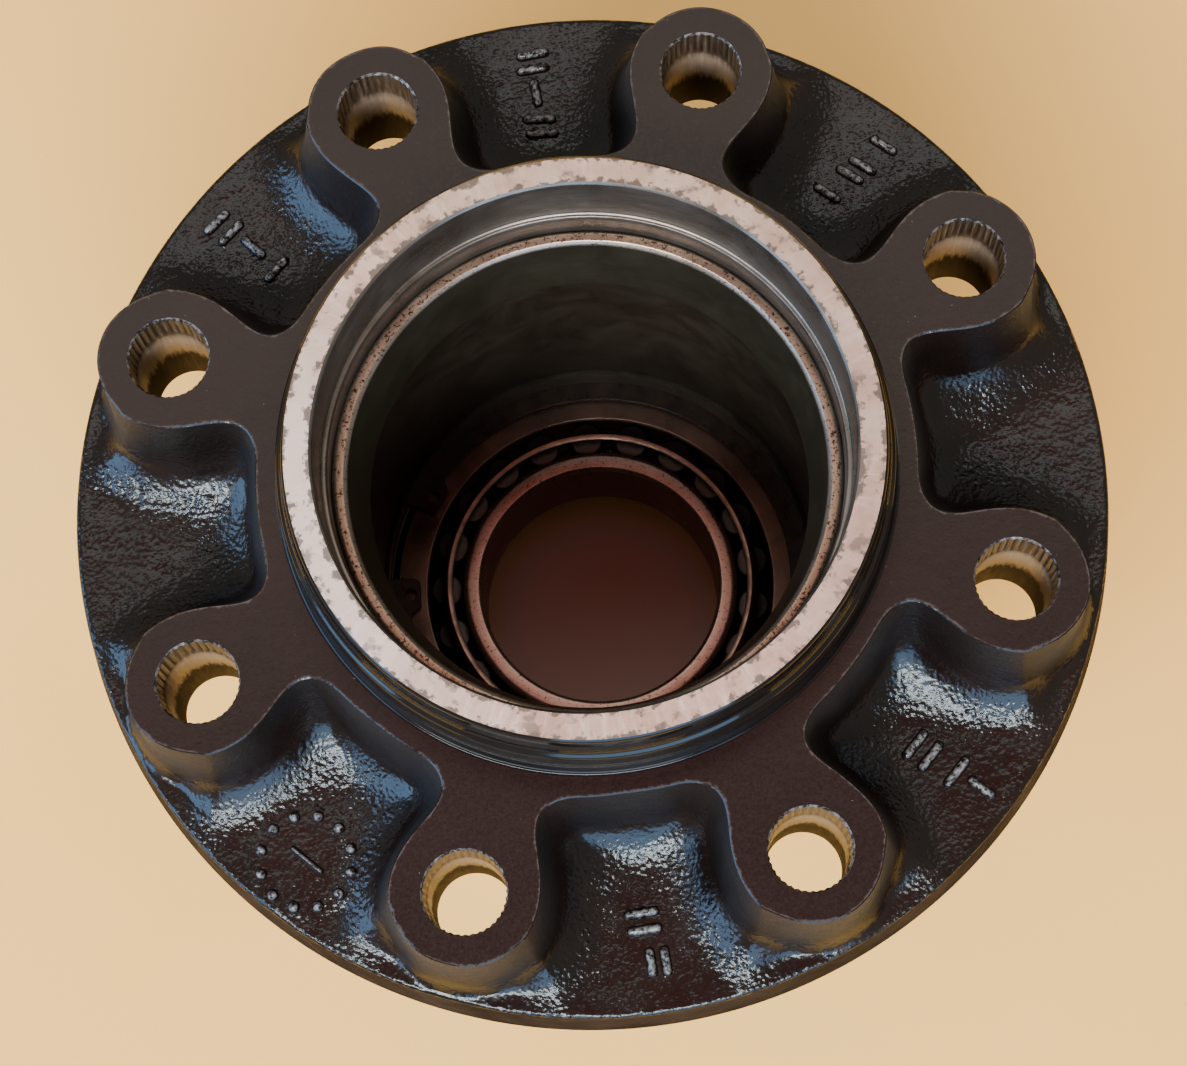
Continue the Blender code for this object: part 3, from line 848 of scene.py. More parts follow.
def make_inner_cup(materials):
    outer_r, bottom_z, top_z = extent("inner_bearing_cup")
    small_r = 42.4
    large_r = 45.4
    profile = [
        (outer_r, bottom_z + 6.0),
        (outer_r, top_z - 0.9, 0.3),
        (outer_r - 0.7, top_z, 0.4),
        (large_r + 0.75, top_z, 0.25),
        (large_r + 0.05, top_z - 0.7, 0.25),
        (small_r + 0.05, bottom_z + 1.0, 0.25),
        (small_r + 0.9, bottom_z, 0.3),
        (outer_r - 1.6, bottom_z, 0.6),
        (outer_r, bottom_z + 1.6, 0.6),
    ]

    def zone_of(radius, height):
        if height > top_z - 0.05 and radius > large_r + 0.6:
            return 0
        if radius < large_r + 0.9 and height > top_z - 0.95:
            return 2
        if radius < large_r + 0.4 and height > bottom_z + 0.9:
            return 1
        return 2

    cup = turned_piece("inner_cup_ring", profile, zone_of, materials)
    place_piece(cup, "inner_bearing_cup", "hub")


def race_r(angle, height):
    """A race's radius at a height: every race is a cone whose tip is the bearing's apex."""
    return (APEX_Z - height) * tan(angle)


def make_outer_cup(materials):
    outer_r, bottom_z, top_z = extent("outer_bearing_cup")
    lip_z = top_z - 0.5
    edge_z = bottom_z + 0.5
    profile = [
        (outer_r, bottom_z + 6.0),
        (outer_r, top_z - 1.3, 0.5),
        (outer_r - 1.2, top_z, 0.5),
        (race_r(CUP_RACE_ANGLE, lip_z) + 0.6, top_z, 0.2),
        (race_r(CUP_RACE_ANGLE, lip_z), lip_z, 0.2),
        (race_r(CUP_RACE_ANGLE, edge_z), edge_z, 0.2),
        (race_r(CUP_RACE_ANGLE, edge_z) + 0.5, bottom_z, 0.2),
        (outer_r - 0.7, bottom_z, 0.3),
        (outer_r, bottom_z + 0.7, 0.3),
    ]

    def zone_of(radius, height):
        return 0 if height > top_z - 0.6 else 1

    cup = turned_piece("outer_cup_ring", profile, zone_of, materials)
    place_piece(cup, "outer_bearing_cup", "hub")


def rib_face_z(radius):
    """Height of the cone's rib face, square to the rollers and clear of their large ends."""
    along = ROLLER_FAR + RIB_CLEARANCE
    return APEX_Z - (along - radius * sin(ROLLER_TILT)) / cos(ROLLER_TILT)


def make_cone(materials):
    large_r, bottom_z, top_z = extent("bearing_cone")
    race_bottom_r = race_r(CONE_RACE_ANGLE, rib_face_z(CONE_SMALL_R + 3.5))
    profile = [
        (CONE_BORE_R, bottom_z + 8.0),
        (CONE_BORE_R, bottom_z + 1.4, 0.5),
        (CONE_BORE_R + 1.4, bottom_z, 0.6),
        (large_r - 0.8, bottom_z, 0.4),
        (large_r, bottom_z + 0.8, 0.4),
        (large_r, rib_face_z(large_r), 0.2),
        (race_bottom_r, rib_face_z(race_bottom_r), 0.15),
        (race_r(CONE_RACE_ANGLE, CONE_RACE_TOP_Z), CONE_RACE_TOP_Z, 0.1),
        (CONE_SMALL_R, CONE_RACE_TOP_Z + 0.4, 0.15),
        (CONE_SMALL_R, top_z - 0.9, 0.4),
        (CONE_SMALL_R - 1.0, top_z, 0.4),
        (CONE_BORE_R + 0.7, top_z, 0.25),
        (CONE_BORE_R, top_z - 0.7, 0.3),
    ]

    def zone_of(radius, height):
        if height > top_z - 1.0:
            return 0
        return 1 if radius > CONE_BORE_R + 0.3 else 2

    cone = turned_piece("cone_ring", profile, zone_of, materials)
    place_piece(cone, "bearing_cone", "cone")


def roller_r(along):
    """A roller's radius at this distance from the apex, clear of both races."""
    return along * tan(ROLLER_TAPER) - RACE_CLEARANCE


def roller_place(number):
    """Where roller number 0, 1, 2 and so on lies: its middle, with local +Z towards the apex."""
    middle = (ROLLER_NEAR + ROLLER_FAR) / 2
    out = Matrix.Translation((middle * sin(ROLLER_TILT), 0.0, APEX_Z - middle * cos(ROLLER_TILT)))
    angle = FIRST_ROLLER_ANGLE + 2 * pi * number / ROLLER_COUNT
    return Matrix.Rotation(angle, 4, "Z") @ out @ Matrix.Rotation(-ROLLER_TILT, 4, "Y")


ROLLER_SIDES = 48
ROLLER_EDGE = 0.5


def roller_mesh(materials):
    """One roller with rounded edges, its own middle at the origin and its small end towards +Z."""
    half = (ROLLER_FAR - ROLLER_NEAR) / 2
    small_r = roller_r(ROLLER_NEAR)
    large_r = roller_r(ROLLER_FAR)
    profile = [
        (1.5, -half),
        (large_r - ROLLER_EDGE, -half, 0.35),
        (large_r, ROLLER_EDGE - half, 0.35),
        (small_r, half - ROLLER_EDGE, 0.35),
        (small_r - ROLLER_EDGE, half, 0.35),
        (1.5, half),
    ]
    outline = soften(profile)
    on_end = [abs(height) > half - 0.45 for _, height in outline]
    roller = Patches()
    rings = [circle(radius, height, ROLLER_SIDES) for radius, height in outline]
    roller.strip(rings, [0 if a and b else 1 for a, b in zip(on_end, on_end[1:])])
    for ring in (rings[0], rings[-1]):
        roller.fan(ring, (0.0, 0.0, ring[0, 2]), 0)
    return roller.build("roller_01_body", materials, 30.0)


def make_rollers(materials):
    """The rollers, which share one mesh."""
    first = roller_mesh(materials)
    for number in range(ROLLER_COUNT):
        node = f"roller_{number + 1:02d}"
        piece = first
        if number:
            piece = bpy.data.objects.new(f"{node}_body", first.data)
            bpy.context.scene.collection.objects.link(piece)
        place = roller_place(number)
        place.translation *= MM
        piece.matrix_world = place
        place_piece(piece, node, node)


CAGE_TOP_Z = 49.8
CAGE_BOTTOM_Z = 24.6
CAGE_TOP_R = 33.0
CAGE_BOTTOM_R = 40.7
CAGE_MIDDLE_R = 37.0
CAGE_SLANT = 26.0
CAGE_SHEET = 1.4
CAGE_EDGE = 0.22
WINDOW_CLEARANCE = 0.3
WINDOW_CORNER = 1.1
WINDOW_SPACING = 1.2


def cage_point(turn, share):
    """A point in the middle of the cage's sheet: share is 0 at its small end and 1 at its large end."""
    radius = CAGE_TOP_R + (CAGE_BOTTOM_R - CAGE_TOP_R) * share
    return radius * np.cos(turn), radius * np.sin(turn), CAGE_TOP_Z + (CAGE_BOTTOM_Z - CAGE_TOP_Z) * share


def window_outline():
    """One window's outline as (turn, share), with rounded corners, round the mid-line of its roller."""
    slant = sqrt((CAGE_TOP_Z - CAGE_BOTTOM_Z) ** 2 + (CAGE_BOTTOM_R - CAGE_TOP_R) ** 2)
    ends = []
    for along in (ROLLER_NEAR - WINDOW_CLEARANCE, ROLLER_FAR + WINDOW_CLEARANCE):
        height = APEX_Z - along * cos(ROLLER_TILT)
        half_width = roller_r(along) + WINDOW_CLEARANCE
        share = (CAGE_TOP_Z - height) / (CAGE_TOP_Z - CAGE_BOTTOM_Z)
        radius = CAGE_TOP_R + (CAGE_BOTTOM_R - CAGE_TOP_R) * share
        ends.append((share, np.arcsin(half_width / radius)))
    (near_share, near_half), (far_share, far_half) = ends
    corners = [
        (-near_half, near_share),
        (near_half, near_share),
        (far_half, far_share),
        (-far_half, far_share),
    ]
    flat = np.array([(turn * CAGE_MIDDLE_R, share * slant) for turn, share in corners])
    outline = []
    for k in range(4):
        here = flat[k]
        before = flat[k - 1] - here
        after = flat[(k + 1) % 4] - here
        first = here + before * WINDOW_CORNER / np.linalg.norm(before)
        last = here + after * WINDOW_CORNER / np.linalg.norm(after)
        outline.extend(rounded(first, here, last, 5))
        straight = np.linalg.norm(after) - 2 * WINDOW_CORNER
        for step in np.arange(WINDOW_SPACING, straight - WINDOW_SPACING / 2, WINDOW_SPACING):
            outline.append(last + after / np.linalg.norm(after) * step)
    return np.array(outline) / (CAGE_MIDDLE_R, slant)


def within(points, outline):
    """Where the points lie inside the closed outline."""
    x, y = points.T
    inside = np.zeros(len(points), bool)
    for a, b in zip(outline, np.roll(outline, -1, axis=0)):
        crosses = (a[1] > y) != (b[1] > y)
        with np.errstate(divide="ignore", invalid="ignore"):
            at = a[0] + (y - a[1]) / (b[1] - a[1]) * (b[0] - a[0])
        inside ^= crosses & (x < at)
    return inside


def bevel_edges(piece, width):
    """Rounds the piece's sharp edges."""
    bevel = piece.modifiers.new("edges", "BEVEL")
    bevel.width = width * MM
    bevel.segments = 2
    bevel.limit_method = "ANGLE"
    bevel.angle_limit = radians(50.0)


def make_cage(material):
    """A pressed conical sheet with one window for each roller."""
    pitch = 2 * pi / ROLLER_COUNT
    window = window_outline()
    shares = np.linspace(0.0, 1.0, 21)
    turns = np.linspace(-pitch / 2, pitch / 2, 13)
    border = [(turn, 0.0) for turn in turns]
    border += [(pitch / 2, share) for share in shares[1:]]
    border += [(turn, 1.0) for turn in turns[::-1][1:]]
    border += [(-pitch / 2, share) for share in shares[::-1][1:-1]]
    middle = (0.0, float(window[:, 1].mean()))
    stretch = np.array([CAGE_MIDDLE_R, CAGE_SLANT])
    loops = [np.array(border) * stretch, window * stretch]
    fill = [np.array(middle) * stretch]
    xy, triangles = plane_patch(loops, fill, lambda middles: ~within(middles, loops[1]))
    turn, share = (xy / stretch).T
    sheet = Patches()
    for number in range(ROLLER_COUNT):
        x, y, z = cage_point(turn + FIRST_ROLLER_ANGLE + number * pitch, share)
        sheet.add(np.stack([x, y, z], axis=1), triangles, 0)
    cage = sheet.build("cage_pressing", [material], 40.0)
    solid = cage.modifiers.new("sheet", "SOLIDIFY")
    solid.thickness = CAGE_SHEET * 0.97 * MM
    solid.offset = 0.0
    solid.use_even_offset = False
    bevel_edges(cage, CAGE_EDGE)
    place_piece(cage, "bearing_cage", "cage")


RING_OUTER_R = 47.6
RING_INNER_R = 42.15
RING_GAP_DEG = (150.0, 171.5)
RING_EDGE = 0.2
LUG_SPAN_DEG = 10.0
LUG_INNER_R = 39.7
LUG_EYE_R = 1.25
LUG_EYE_CIRCLE_R = 41.9


def arc(radius, start_deg, end_deg):
    count = max(2, round(abs(end_deg - start_deg) / 1.0))
    return around(radius, np.radians(np.linspace(start_deg, end_deg, count + 1)))[:, :2]


def ring_inner_edge():
    """The ring's inner side, from the lug before the gap round to the lug after it, with soft shoulders."""
    start, end = RING_GAP_DEG
    turn = np.arange(end, start + 360.01, 0.75)
    from_gap = np.minimum(turn - end, start + 360.0 - turn)
    lug = ease(1 - (from_gap - LUG_SPAN_DEG + 1.5) / 3.0)
    round_end = 0.9 * np.clip(1 - from_gap / 1.6, 0.0, 1.0) ** 2
    radius = RING_INNER_R + (LUG_INNER_R - RING_INNER_R) * lug + round_end
    return around(radius, np.radians(turn))[:, :2]


def make_snap_ring(material):
    """A flat internal ring with a gap and, at each end of it, a lug with an eye for the pliers."""
    start, end = RING_GAP_DEG
    _, bottom_z, top_z = extent("snap_ring")
    outline = np.concatenate([arc(RING_OUTER_R, start + 360.0, end), ring_inner_edge()])
    middles_deg = (start - LUG_SPAN_DEG / 2, end + LUG_SPAN_DEG / 2)
    centres = [arc(LUG_EYE_CIRCLE_R, middle, middle + 1)[0] for middle in middles_deg]
    eyes = [flat_circle(LUG_EYE_R, 32, centre) for centre in centres]

    def keep(middles):
        return within(middles, outline) & clear_of(middles, centres, 0.9 * LUG_EYE_R)

    xy, triangles = plane_patch([outline, *eyes], centres, keep)
    ring = Patches()
    for height in (bottom_z, top_z):
        ring.add(np.column_stack([xy, np.full(len(xy), height)]), triangles, 0)
    for loop in (outline, *eyes):
        low = np.column_stack([loop, np.full(len(loop), bottom_z)])
        high = np.column_stack([loop, np.full(len(loop), top_z)])
        ring.strip([low, high], 0)
    piece = ring.build("snap_ring_strip", [material], 30.0)
    bevel_edges(piece, RING_EDGE)
    place_piece(piece, "snap_ring", "hub")


# ---------------------------------------------------------------- materials


def fill_ramp(band, stops):
    """Sets the ramp's stops, each a (place, colour or grey)."""
    while len(band.elements) < len(stops):
        band.elements.new(0.5)
    for element, (place, color) in zip(band.elements, stops):
        element.position = place
        grey = isinstance(color, (int, float))
        element.color = (color, color, color, 1.0) if grey else (*color, 1.0)


class Surface:
    """A material in the making. Its textures lie in the piece's own space, in millimetres."""

    def __init__(self, name, metallic=0.0, specular=0.5):
        self.material = bpy.data.materials.new(name)
        self.material.use_nodes = True
        self.tree = self.material.node_tree
        self.shader = self.tree.nodes["Principled BSDF"]
        self.shader.inputs["Metallic"].default_value = metallic
        self.shader.inputs["Specular IOR Level"].default_value = specular
        coordinates = self.node("ShaderNodeTexCoord")
        scaled = self.node("ShaderNodeVectorMath", operation="SCALE")
        scaled.inputs["Scale"].default_value = 1 / MM
        self.tree.links.new(coordinates.outputs["Object"], scaled.inputs[0])
        self.place = scaled.outputs[0]

    def node(self, kind, **settings):
        made = self.tree.nodes.new(kind)
        for key, value in settings.items():
            setattr(made, key, value)
        return made

    def feed(self, socket, value):
        if hasattr(value, "is_output"):
            self.tree.links.new(value, socket)
        else:
            socket.default_value = value

    def done(self, color, roughness, normal=None):
        """The finished material."""
        self.feed(self.shader.inputs["Base Color"], color)
        self.feed(self.shader.inputs["Roughness"], roughness)
        if normal is not None:
            self.feed(self.shader.inputs["Normal"], normal)
        return self.material

    def noise(self, size, detail=3.0, rough=0.55, place=None, distortion=0.0):
        """Noise whose lumps are about this many millimetres across."""
        made = self.node("ShaderNodeTexNoise")
        made.inputs["Scale"].default_value = 1.0 / size
        made.inputs["Detail"].default_value = detail
        made.inputs["Roughness"].default_value = rough
        made.inputs["Distortion"].default_value = distortion
        self.feed(made.inputs["Vector"], self.place if place is None else place)
        return made.outputs["Fac"]

    def cells(self, size, feature="F1"):
        made = self.node("ShaderNodeTexVoronoi", feature=feature)
        made.inputs["Scale"].default_value = 1.0 / size
        self.feed(made.inputs["Vector"], self.place)
        return made.outputs["Distance"]

    def ramp(self, value, *stops):
        """Each stop is a (place, colour or grey)."""
        made = self.node("ShaderNodeValToRGB")
        fill_ramp(made.color_ramp, stops)
        self.feed(made.inputs["Fac"], value)
        return made.outputs["Color"]

    def tones(self, noise, low, high):
        """From one colour to the other over the noise's usual range."""
        return self.ramp(noise, (0.3, low), (0.7, high))

    def mix(self, factor, first, second):
        made = self.node("ShaderNodeMix", data_type="RGBA")
        self.feed(made.inputs[0], factor)
        for socket, value in ((made.inputs[6], first), (made.inputs[7], second)):
            self.feed(socket, (*value, 1.0) if isinstance(value, tuple) else value)
        return made.outputs[2]

    def math(self, operation, first, second=0.0):
        made = self.node("ShaderNodeMath", operation=operation)
        self.feed(made.inputs[0], first)
        self.feed(made.inputs[1], second)
        return made.outputs[0]

    def times(self, first, second):
        return self.math("MULTIPLY", first, second)

    def plus(self, first, second):
        return self.math("ADD", first, second)

    def span(self, value, low, high, to_low=0.0, to_high=1.0):
        """value moved from one range to another, held at its ends."""
        made = self.node("ShaderNodeMapRange")
        self.feed(made.inputs["Value"], value)
        made.inputs["From Min"].default_value = low
        made.inputs["From Max"].default_value = high
        made.inputs["To Min"].default_value = to_low
        made.inputs["To Max"].default_value = to_high
        return made.outputs["Result"]

    def vary(self, noise, to_low, to_high):
        """The noise's usual range spread from one number to the other."""
        return self.span(noise, 0.3, 0.7, to_low, to_high)

    def parts(self):
        made = self.node("ShaderNodeSeparateXYZ")
        self.feed(made.inputs[0], self.place)
        return made.outputs

    def polar(self, around_scale, radial=1.0):
        """The place as (angle, radius, height), for grooves and streaks that run round the axis."""
        x, y, z = self.parts()
        made = self.node("ShaderNodeCombineXYZ")
        self.feed(made.inputs[0], self.times(self.math("ARCTAN2", y, x), around_scale))
        self.feed(made.inputs[1], self.times(self.radius(), radial))
        self.feed(made.inputs[2], z)
        return made.outputs[0]

    def radius(self):
        x, y, _ = self.parts()
        squares = self.plus(self.times(x, x), self.times(y, y))
        return self.math("SQRT", squares)

    def edge_on(self):
        """0 where the surface faces the viewer, rising to 1 where it is seen edge on."""
        made = self.node("ShaderNodeLayerWeight")
        made.inputs["Blend"].default_value = 0.5
        return self.span(made.outputs["Facing"], 0.50, 0.84)

    def attribute(self, name):
        return self.node("ShaderNodeAttribute", attribute_name=name).outputs["Fac"]

    def bump(self, height, depth, strength=1.0, under=None):
        """Bumps of this many millimetres."""
        made = self.node("ShaderNodeBump")
        made.inputs["Strength"].default_value = strength
        made.inputs["Distance"].default_value = depth * MM
        self.feed(made.inputs["Height"], height)
        if under is not None:
            self.feed(made.inputs["Normal"], under)
        return made.outputs["Normal"]


# The colour of the black paint's own highlights.
COOL_TINT = (0.78, 0.92, 1.0, 1.0)


def gloss_paint():
    """Thick gloss black paint over a cast skin, pebbly on the pocket floors and smoother on the walls."""
    s = Surface("gloss_black_paint", specular=0.42)
    s.shader.inputs["Specular Tint"].default_value = COOL_TINT
    tone = s.noise(22.0, 4.0, 0.6)
    color = s.tones(tone, (0.0038, 0.0022, 0.0017), (0.0092, 0.0046, 0.0036))
    dust = s.ramp(s.noise(0.5, 2.0, 0.7), (0.70, 0.0), (0.80, 1.0))
    patchy = s.ramp(s.noise(11.0, 2.0), (0.45, 0.0), (0.75, 0.35))
    color = s.mix(s.times(dust, patchy), color, (0.13, 0.10, 0.09))
    # Painted highlight: the tops of the raised marks are mixed towards a light grey.
    on_mark = s.span(s.attribute("mark_rise"), 0.45, 0.9)
    painted_mark_highlight = s.times(on_mark, s.span(s.noise(0.9, 3.0), 0.4, 0.6))
    color = s.mix(s.times(painted_mark_highlight, 0.7), color, (0.24, 0.25, 0.26))
    gloss = s.span(s.noise(7.0, 4.0, 0.6), 0.3, 0.75, 0.16, 0.28)
    roughness = s.plus(gloss, s.times(s.edge_on(), 0.5))
    from_star = s.attribute("star_distance")
    on_floor = s.span(from_star, 4.0, 8.0, 0.30, 1.0)
    on_floor = s.times(on_floor, s.span(from_star, 11.0, 16.0, 1.0, 0.60))
    pebbles = s.math("SUBTRACT", 1.0, s.cells(0.85, feature="SMOOTH_F1"))
    pebbles = s.times(pebbles, s.span(s.noise(3.5, 3.0, 0.6), 0.35, 0.65, 0.35, 1.0))
    pebbles = s.times(pebbles, s.span(s.noise(16.0, 2.0), 0.40, 0.62, 0.65, 1.0))
    grain = s.bump(s.times(s.noise(0.8, 2.0, 0.6), on_floor), 0.14)
    return s.done(color, roughness, s.bump(s.times(pebbles, on_floor), 0.40, 1.0, grain))


def outer_paint():
    """Thinner, duller black paint on the flange's rim and on the barrel."""
    s = Surface("dull_black_paint", specular=0.004)
    tone = s.noise(18.0, 4.0, 0.6)
    color = s.tones(tone, (0.010, 0.0072, 0.0056), (0.030, 0.020, 0.015))
    roughness = s.span(s.noise(5.0, 4.0, 0.6), 0.3, 0.75, 0.42, 0.60)
    return s.done(color, roughness, s.bump(s.noise(2.2, 4.0, 0.62), 0.30, 0.7))


def smooth_paint():
    """Smooth gloss paint on the turned wall below the ring."""
    s = Surface("smooth_black_paint", specular=0.4)
    s.shader.inputs["Specular Tint"].default_value = COOL_TINT
    tone = s.noise(16.0, 4.0, 0.6)
    color = s.tones(tone, (0.0025, 0.0022, 0.0022), (0.0075, 0.0055, 0.005))
    roughness = s.span(s.noise(6.0, 4.0, 0.6), 0.3, 0.75, 0.06, 0.16)
    waves = s.bump(s.noise(9.0, 1.0), 0.12, 0.5)
    return s.done(color, roughness, s.bump(s.noise(1.6, 3.0, 0.6), 0.02, 0.6, waves))


def faced_paint():
    """Satin brown-black paint on the star's machined face, with dust caught in it."""
    s = Surface("satin_black_paint", specular=0.4)
    tone = s.noise(30.0, 4.0, 0.6)
    color = s.tones(tone, (0.0032, 0.0011, 0.0009), (0.0072, 0.0026, 0.0020))
    grain = s.noise(0.55, 4.0, 0.65)
    color = s.mix(s.span(grain, 0.40, 0.75, 0.0, 0.26), color, (0.018, 0.0075, 0.006))
    specks = s.ramp(s.cells(1.9), (0.02, 1.0), (0.06, 0.0))
    some = s.ramp(s.noise(6.0, 2.0), (0.54, 0.0), (0.62, 1.0))
    color = s.mix(s.times(specks, some), color, (0.20, 0.17, 0.16))
    # A lighter line along the star's edge: partly worn paint, partly painted highlight.
    edge = s.attribute("star_distance")
    close = s.plus(edge, s.vary(s.noise(1.4, 3.0, 0.7), -0.3, 0.3))
    worn_edge_and_highlight = s.span(close, -0.30, 0.05)
    color = s.mix(s.times(worn_edge_and_highlight, 0.30), color, (0.16, 0.13, 0.125))
    roughness = s.vary(grain, 0.27, 0.38)
    return s.done(color, roughness, s.bump(grain, 0.05, 0.6, s.bump(s.noise(2.6, 2.0), 0.08, 0.5)))


def bare_ring_face():
    """Bare ground steel at the seal end: fine turning marks, grey blotches and scratches, with painted light
    and shade across the face.
    """
    s = Surface("bare_ring_face", metallic=0.6)
    lines = s.noise(0.16, 2.0, 0.6, s.polar(1.5))
    cloud = s.noise(9.0, 4.0, 0.6)
    color = s.ramp(cloud, (0.32, (0.54, 0.34, 0.26)), (0.5, (0.74, 0.52, 0.43)), (0.72, (0.90, 0.73, 0.64)))
    color = s.mix(s.vary(lines, 0.0, 0.30), color, (0.42, 0.27, 0.21))
    # Radial streaks: scratches, the lighter ones partly painted highlight.
    rays = s.noise(1.0, 3.0, 0.6, s.polar(42.0, 0.10))
    color = s.mix(s.span(rays, 0.35, 0.65, 0.30, 0.0), color, (0.34, 0.22, 0.17))
    color = s.mix(s.span(rays, 0.58, 0.78, 0.0, 0.55), color, (0.92, 0.84, 0.78))
    # Painted light and shade across the face: darker tan towards +y, whiter towards -x, darker towards +x.
    x, y, _ = s.parts()
    drift = s.vary(s.noise(24.0, 3.0), -26.0, 26.0)
    painted_shade_back_side = s.span(s.plus(y, drift), -12.0, 42.0, 0.0, 0.42)
    color = s.mix(painted_shade_back_side, color, (0.36, 0.275, 0.195))
    painted_light_left_side = s.span(s.plus(x, s.times(y, 0.25)), -52.0, -30.0, 0.45, 0.0)
    color = s.mix(painted_light_left_side, color, (0.94, 0.88, 0.84))
    painted_shade_right_side = s.span(s.plus(x, s.vary(rays, -6.0, 6.0)), 26.0, 46.0, 0.0, 0.38)
    color = s.mix(painted_shade_right_side, color, (0.30, 0.22, 0.185))
    radius = s.radius()
    ragged = s.span(s.noise(2.3, 4.0, 0.66), 0.32, 0.68, -1.6, 1.6)
    inner = s.span(s.math("SUBTRACT", radius, ragged), 50.0, 50.7, 1.0, 0.0)
    outer = s.span(s.plus(radius, ragged), 54.3, 55.0, 0.0, 1.0)
    blotch = s.ramp(s.noise(4.4, 3.0, 0.6), (0.58, 0.0), (0.68, 1.0))
    stain = s.math("MAXIMUM", s.math("MAXIMUM", inner, outer), s.times(blotch, 0.75))
    color = s.mix(s.times(stain, 0.86), color, (0.105, 0.080, 0.062))
    roughness = s.span(s.plus(rays, stain), 0.3, 1.6, 0.30, 0.56)
    return s.done(color, roughness, s.bump(lines, 0.03, 0.5, s.bump(s.noise(2.2, 4.0), 0.06, 0.4)))


def turned_bore():
    """Turned steel inside the hub, browned, with an oil film."""
    s = Surface("turned_bore", metallic=0.8)
    lines = s.noise(0.35, 3.0, 0.6, s.polar(1.2))
    cloud = s.noise(14.0, 5.0, 0.6, distortion=0.5)
    color = s.ramp(
        cloud,
        (0.3, (0.105, 0.088, 0.072)),
        (0.6, (0.20, 0.175, 0.150)),
        (0.8, (0.30, 0.265, 0.23)),
    )
    color = s.mix(s.span(lines, 0.35, 0.7, 0.0, 0.5), color, (0.055, 0.045, 0.038))
    specks = s.ramp(s.noise(0.7, 3.0, 0.7), (0.62, 0.0), (0.70, 1.0))
    color = s.mix(s.times(specks, 0.5), color, (0.025, 0.016, 0.013))
    return s.done(color, s.vary(cloud, 0.22, 0.40), s.bump(lines, 0.05, 0.6))


def oily_cavity():
    """The dark, oiled inside of the casting between the bearings."""
    s = Surface("oily_cavity", metallic=0.2, specular=0.35)
    cloud = s.noise(11.0, 5.0, 0.6, distortion=0.6)
    color = s.tones(cloud, (0.012, 0.010, 0.0076), (0.030, 0.025, 0.0185))
    roughness = s.vary(cloud, 0.36, 0.52)
    skin = s.bump(s.noise(2.4, 4.0, 0.6), 0.20, 0.4)
    return s.done(color, roughness, s.bump(s.noise(0.9, 2.0, 0.6), 0.06, 0.4, skin))


def stud_hole_steel():
    """The stud holes' walls: bare iron, browned and streaked along the hole, with a painted reflection band
    below the knurl marks and painted shadow darkening its far end.
    """
    s = Surface("stud_hole_steel", metallic=0.35, specular=0.15)
    x, y, z = s.parts()
    made = s.node("ShaderNodeCombineXYZ")
    s.feed(made.inputs[0], x)
    s.feed(made.inputs[1], y)
    s.feed(made.inputs[2], s.times(z, 0.12))
    streaks = s.noise(0.7, 4.0, 0.65, made.outputs[0])
    color = s.ramp(
        streaks,
        (0.3, (0.028, 0.017, 0.011)),
        (0.5, (0.110, 0.080, 0.058)),
        (0.72, (0.30, 0.238, 0.185)),
    )
    # Painted reflection: a lighter tan band just below the knurl marks.
    band = s.span(z, BOSS_TOP_Z - 11.0, BOSS_TOP_Z - 8.0, 0.55, 0.0)
    color = s.mix(band, color, (0.36, 0.285, 0.215))
    knurled = s.span(z, BOSS_TOP_Z - 9.0, BOSS_TOP_Z - 8.6, 0.0, 0.40)
    color = s.mix(knurled, color, (0.050, 0.031, 0.018))
    color = s.mix(s.times(s.attribute("knurl_cut"), 0.85), color, (0.016, 0.010, 0.007))
    ragged = s.plus(z, s.vary(streaks, -2.0, 2.0))
    # Painted shadow: the hole's far end is darkened.
    painted_shadow_end = s.span(ragged, FLANGE_BOTTOM_Z + 12.0, FLANGE_BOTTOM_Z + 15.0, 0.92, 0.0)
    color = s.mix(painted_shadow_end, color, (0.020, 0.012, 0.009))
    rough = s.vary(streaks, 0.34, 0.52)
    roughness = s.plus(rough, s.times(painted_shadow_end, 0.35))
    return s.done(color, roughness, s.bump(streaks, 0.08, 0.8))


def worn_lip():
    """The ragged lip round each stud hole, bright where the paint has gone."""
    s = Surface("worn_hole_lip", metallic=0.7)
    rag = s.noise(1.1, 4.0, 0.7)
    color = s.ramp(
        rag,
        (0.42, (0.020, 0.015, 0.013)),
        (0.54, (0.20, 0.175, 0.165)),
        (0.72, (0.55, 0.50, 0.48)),
    )
    return s.done(color, s.vary(rag, 0.45, 0.22), s.bump(rag, 0.08, 0.7))


def machined_iron():
    """Bare machined iron on the outboard faces and pilots, with a little rust."""
    s = Surface("machined_iron", metallic=0.75)
    lines = s.noise(0.3, 2.0, 0.6, s.polar(1.2))
    cloud = s.noise(15.0, 5.0, 0.65, distortion=0.5)
    color = s.ramp(cloud, (0.3, (0.24, 0.19, 0.16)), (0.6, (0.42, 0.36, 0.32)), (0.8, (0.52, 0.46, 0.42)))
    color = s.mix(s.span(lines, 0.35, 0.7, 0.0, 0.4), color, (0.16, 0.125, 0.11))
    rust = s.ramp(s.noise(4.0, 5.0, 0.75), (0.60, 0.0), (0.72, 1.0))
    color = s.mix(s.times(rust, 0.5), color, (0.13, 0.055, 0.03))
    roughness = s.span(s.plus(cloud, rust), 0.3, 1.4, 0.32, 0.62)
    return s.done(color, roughness, s.bump(lines, 0.05, 0.6))


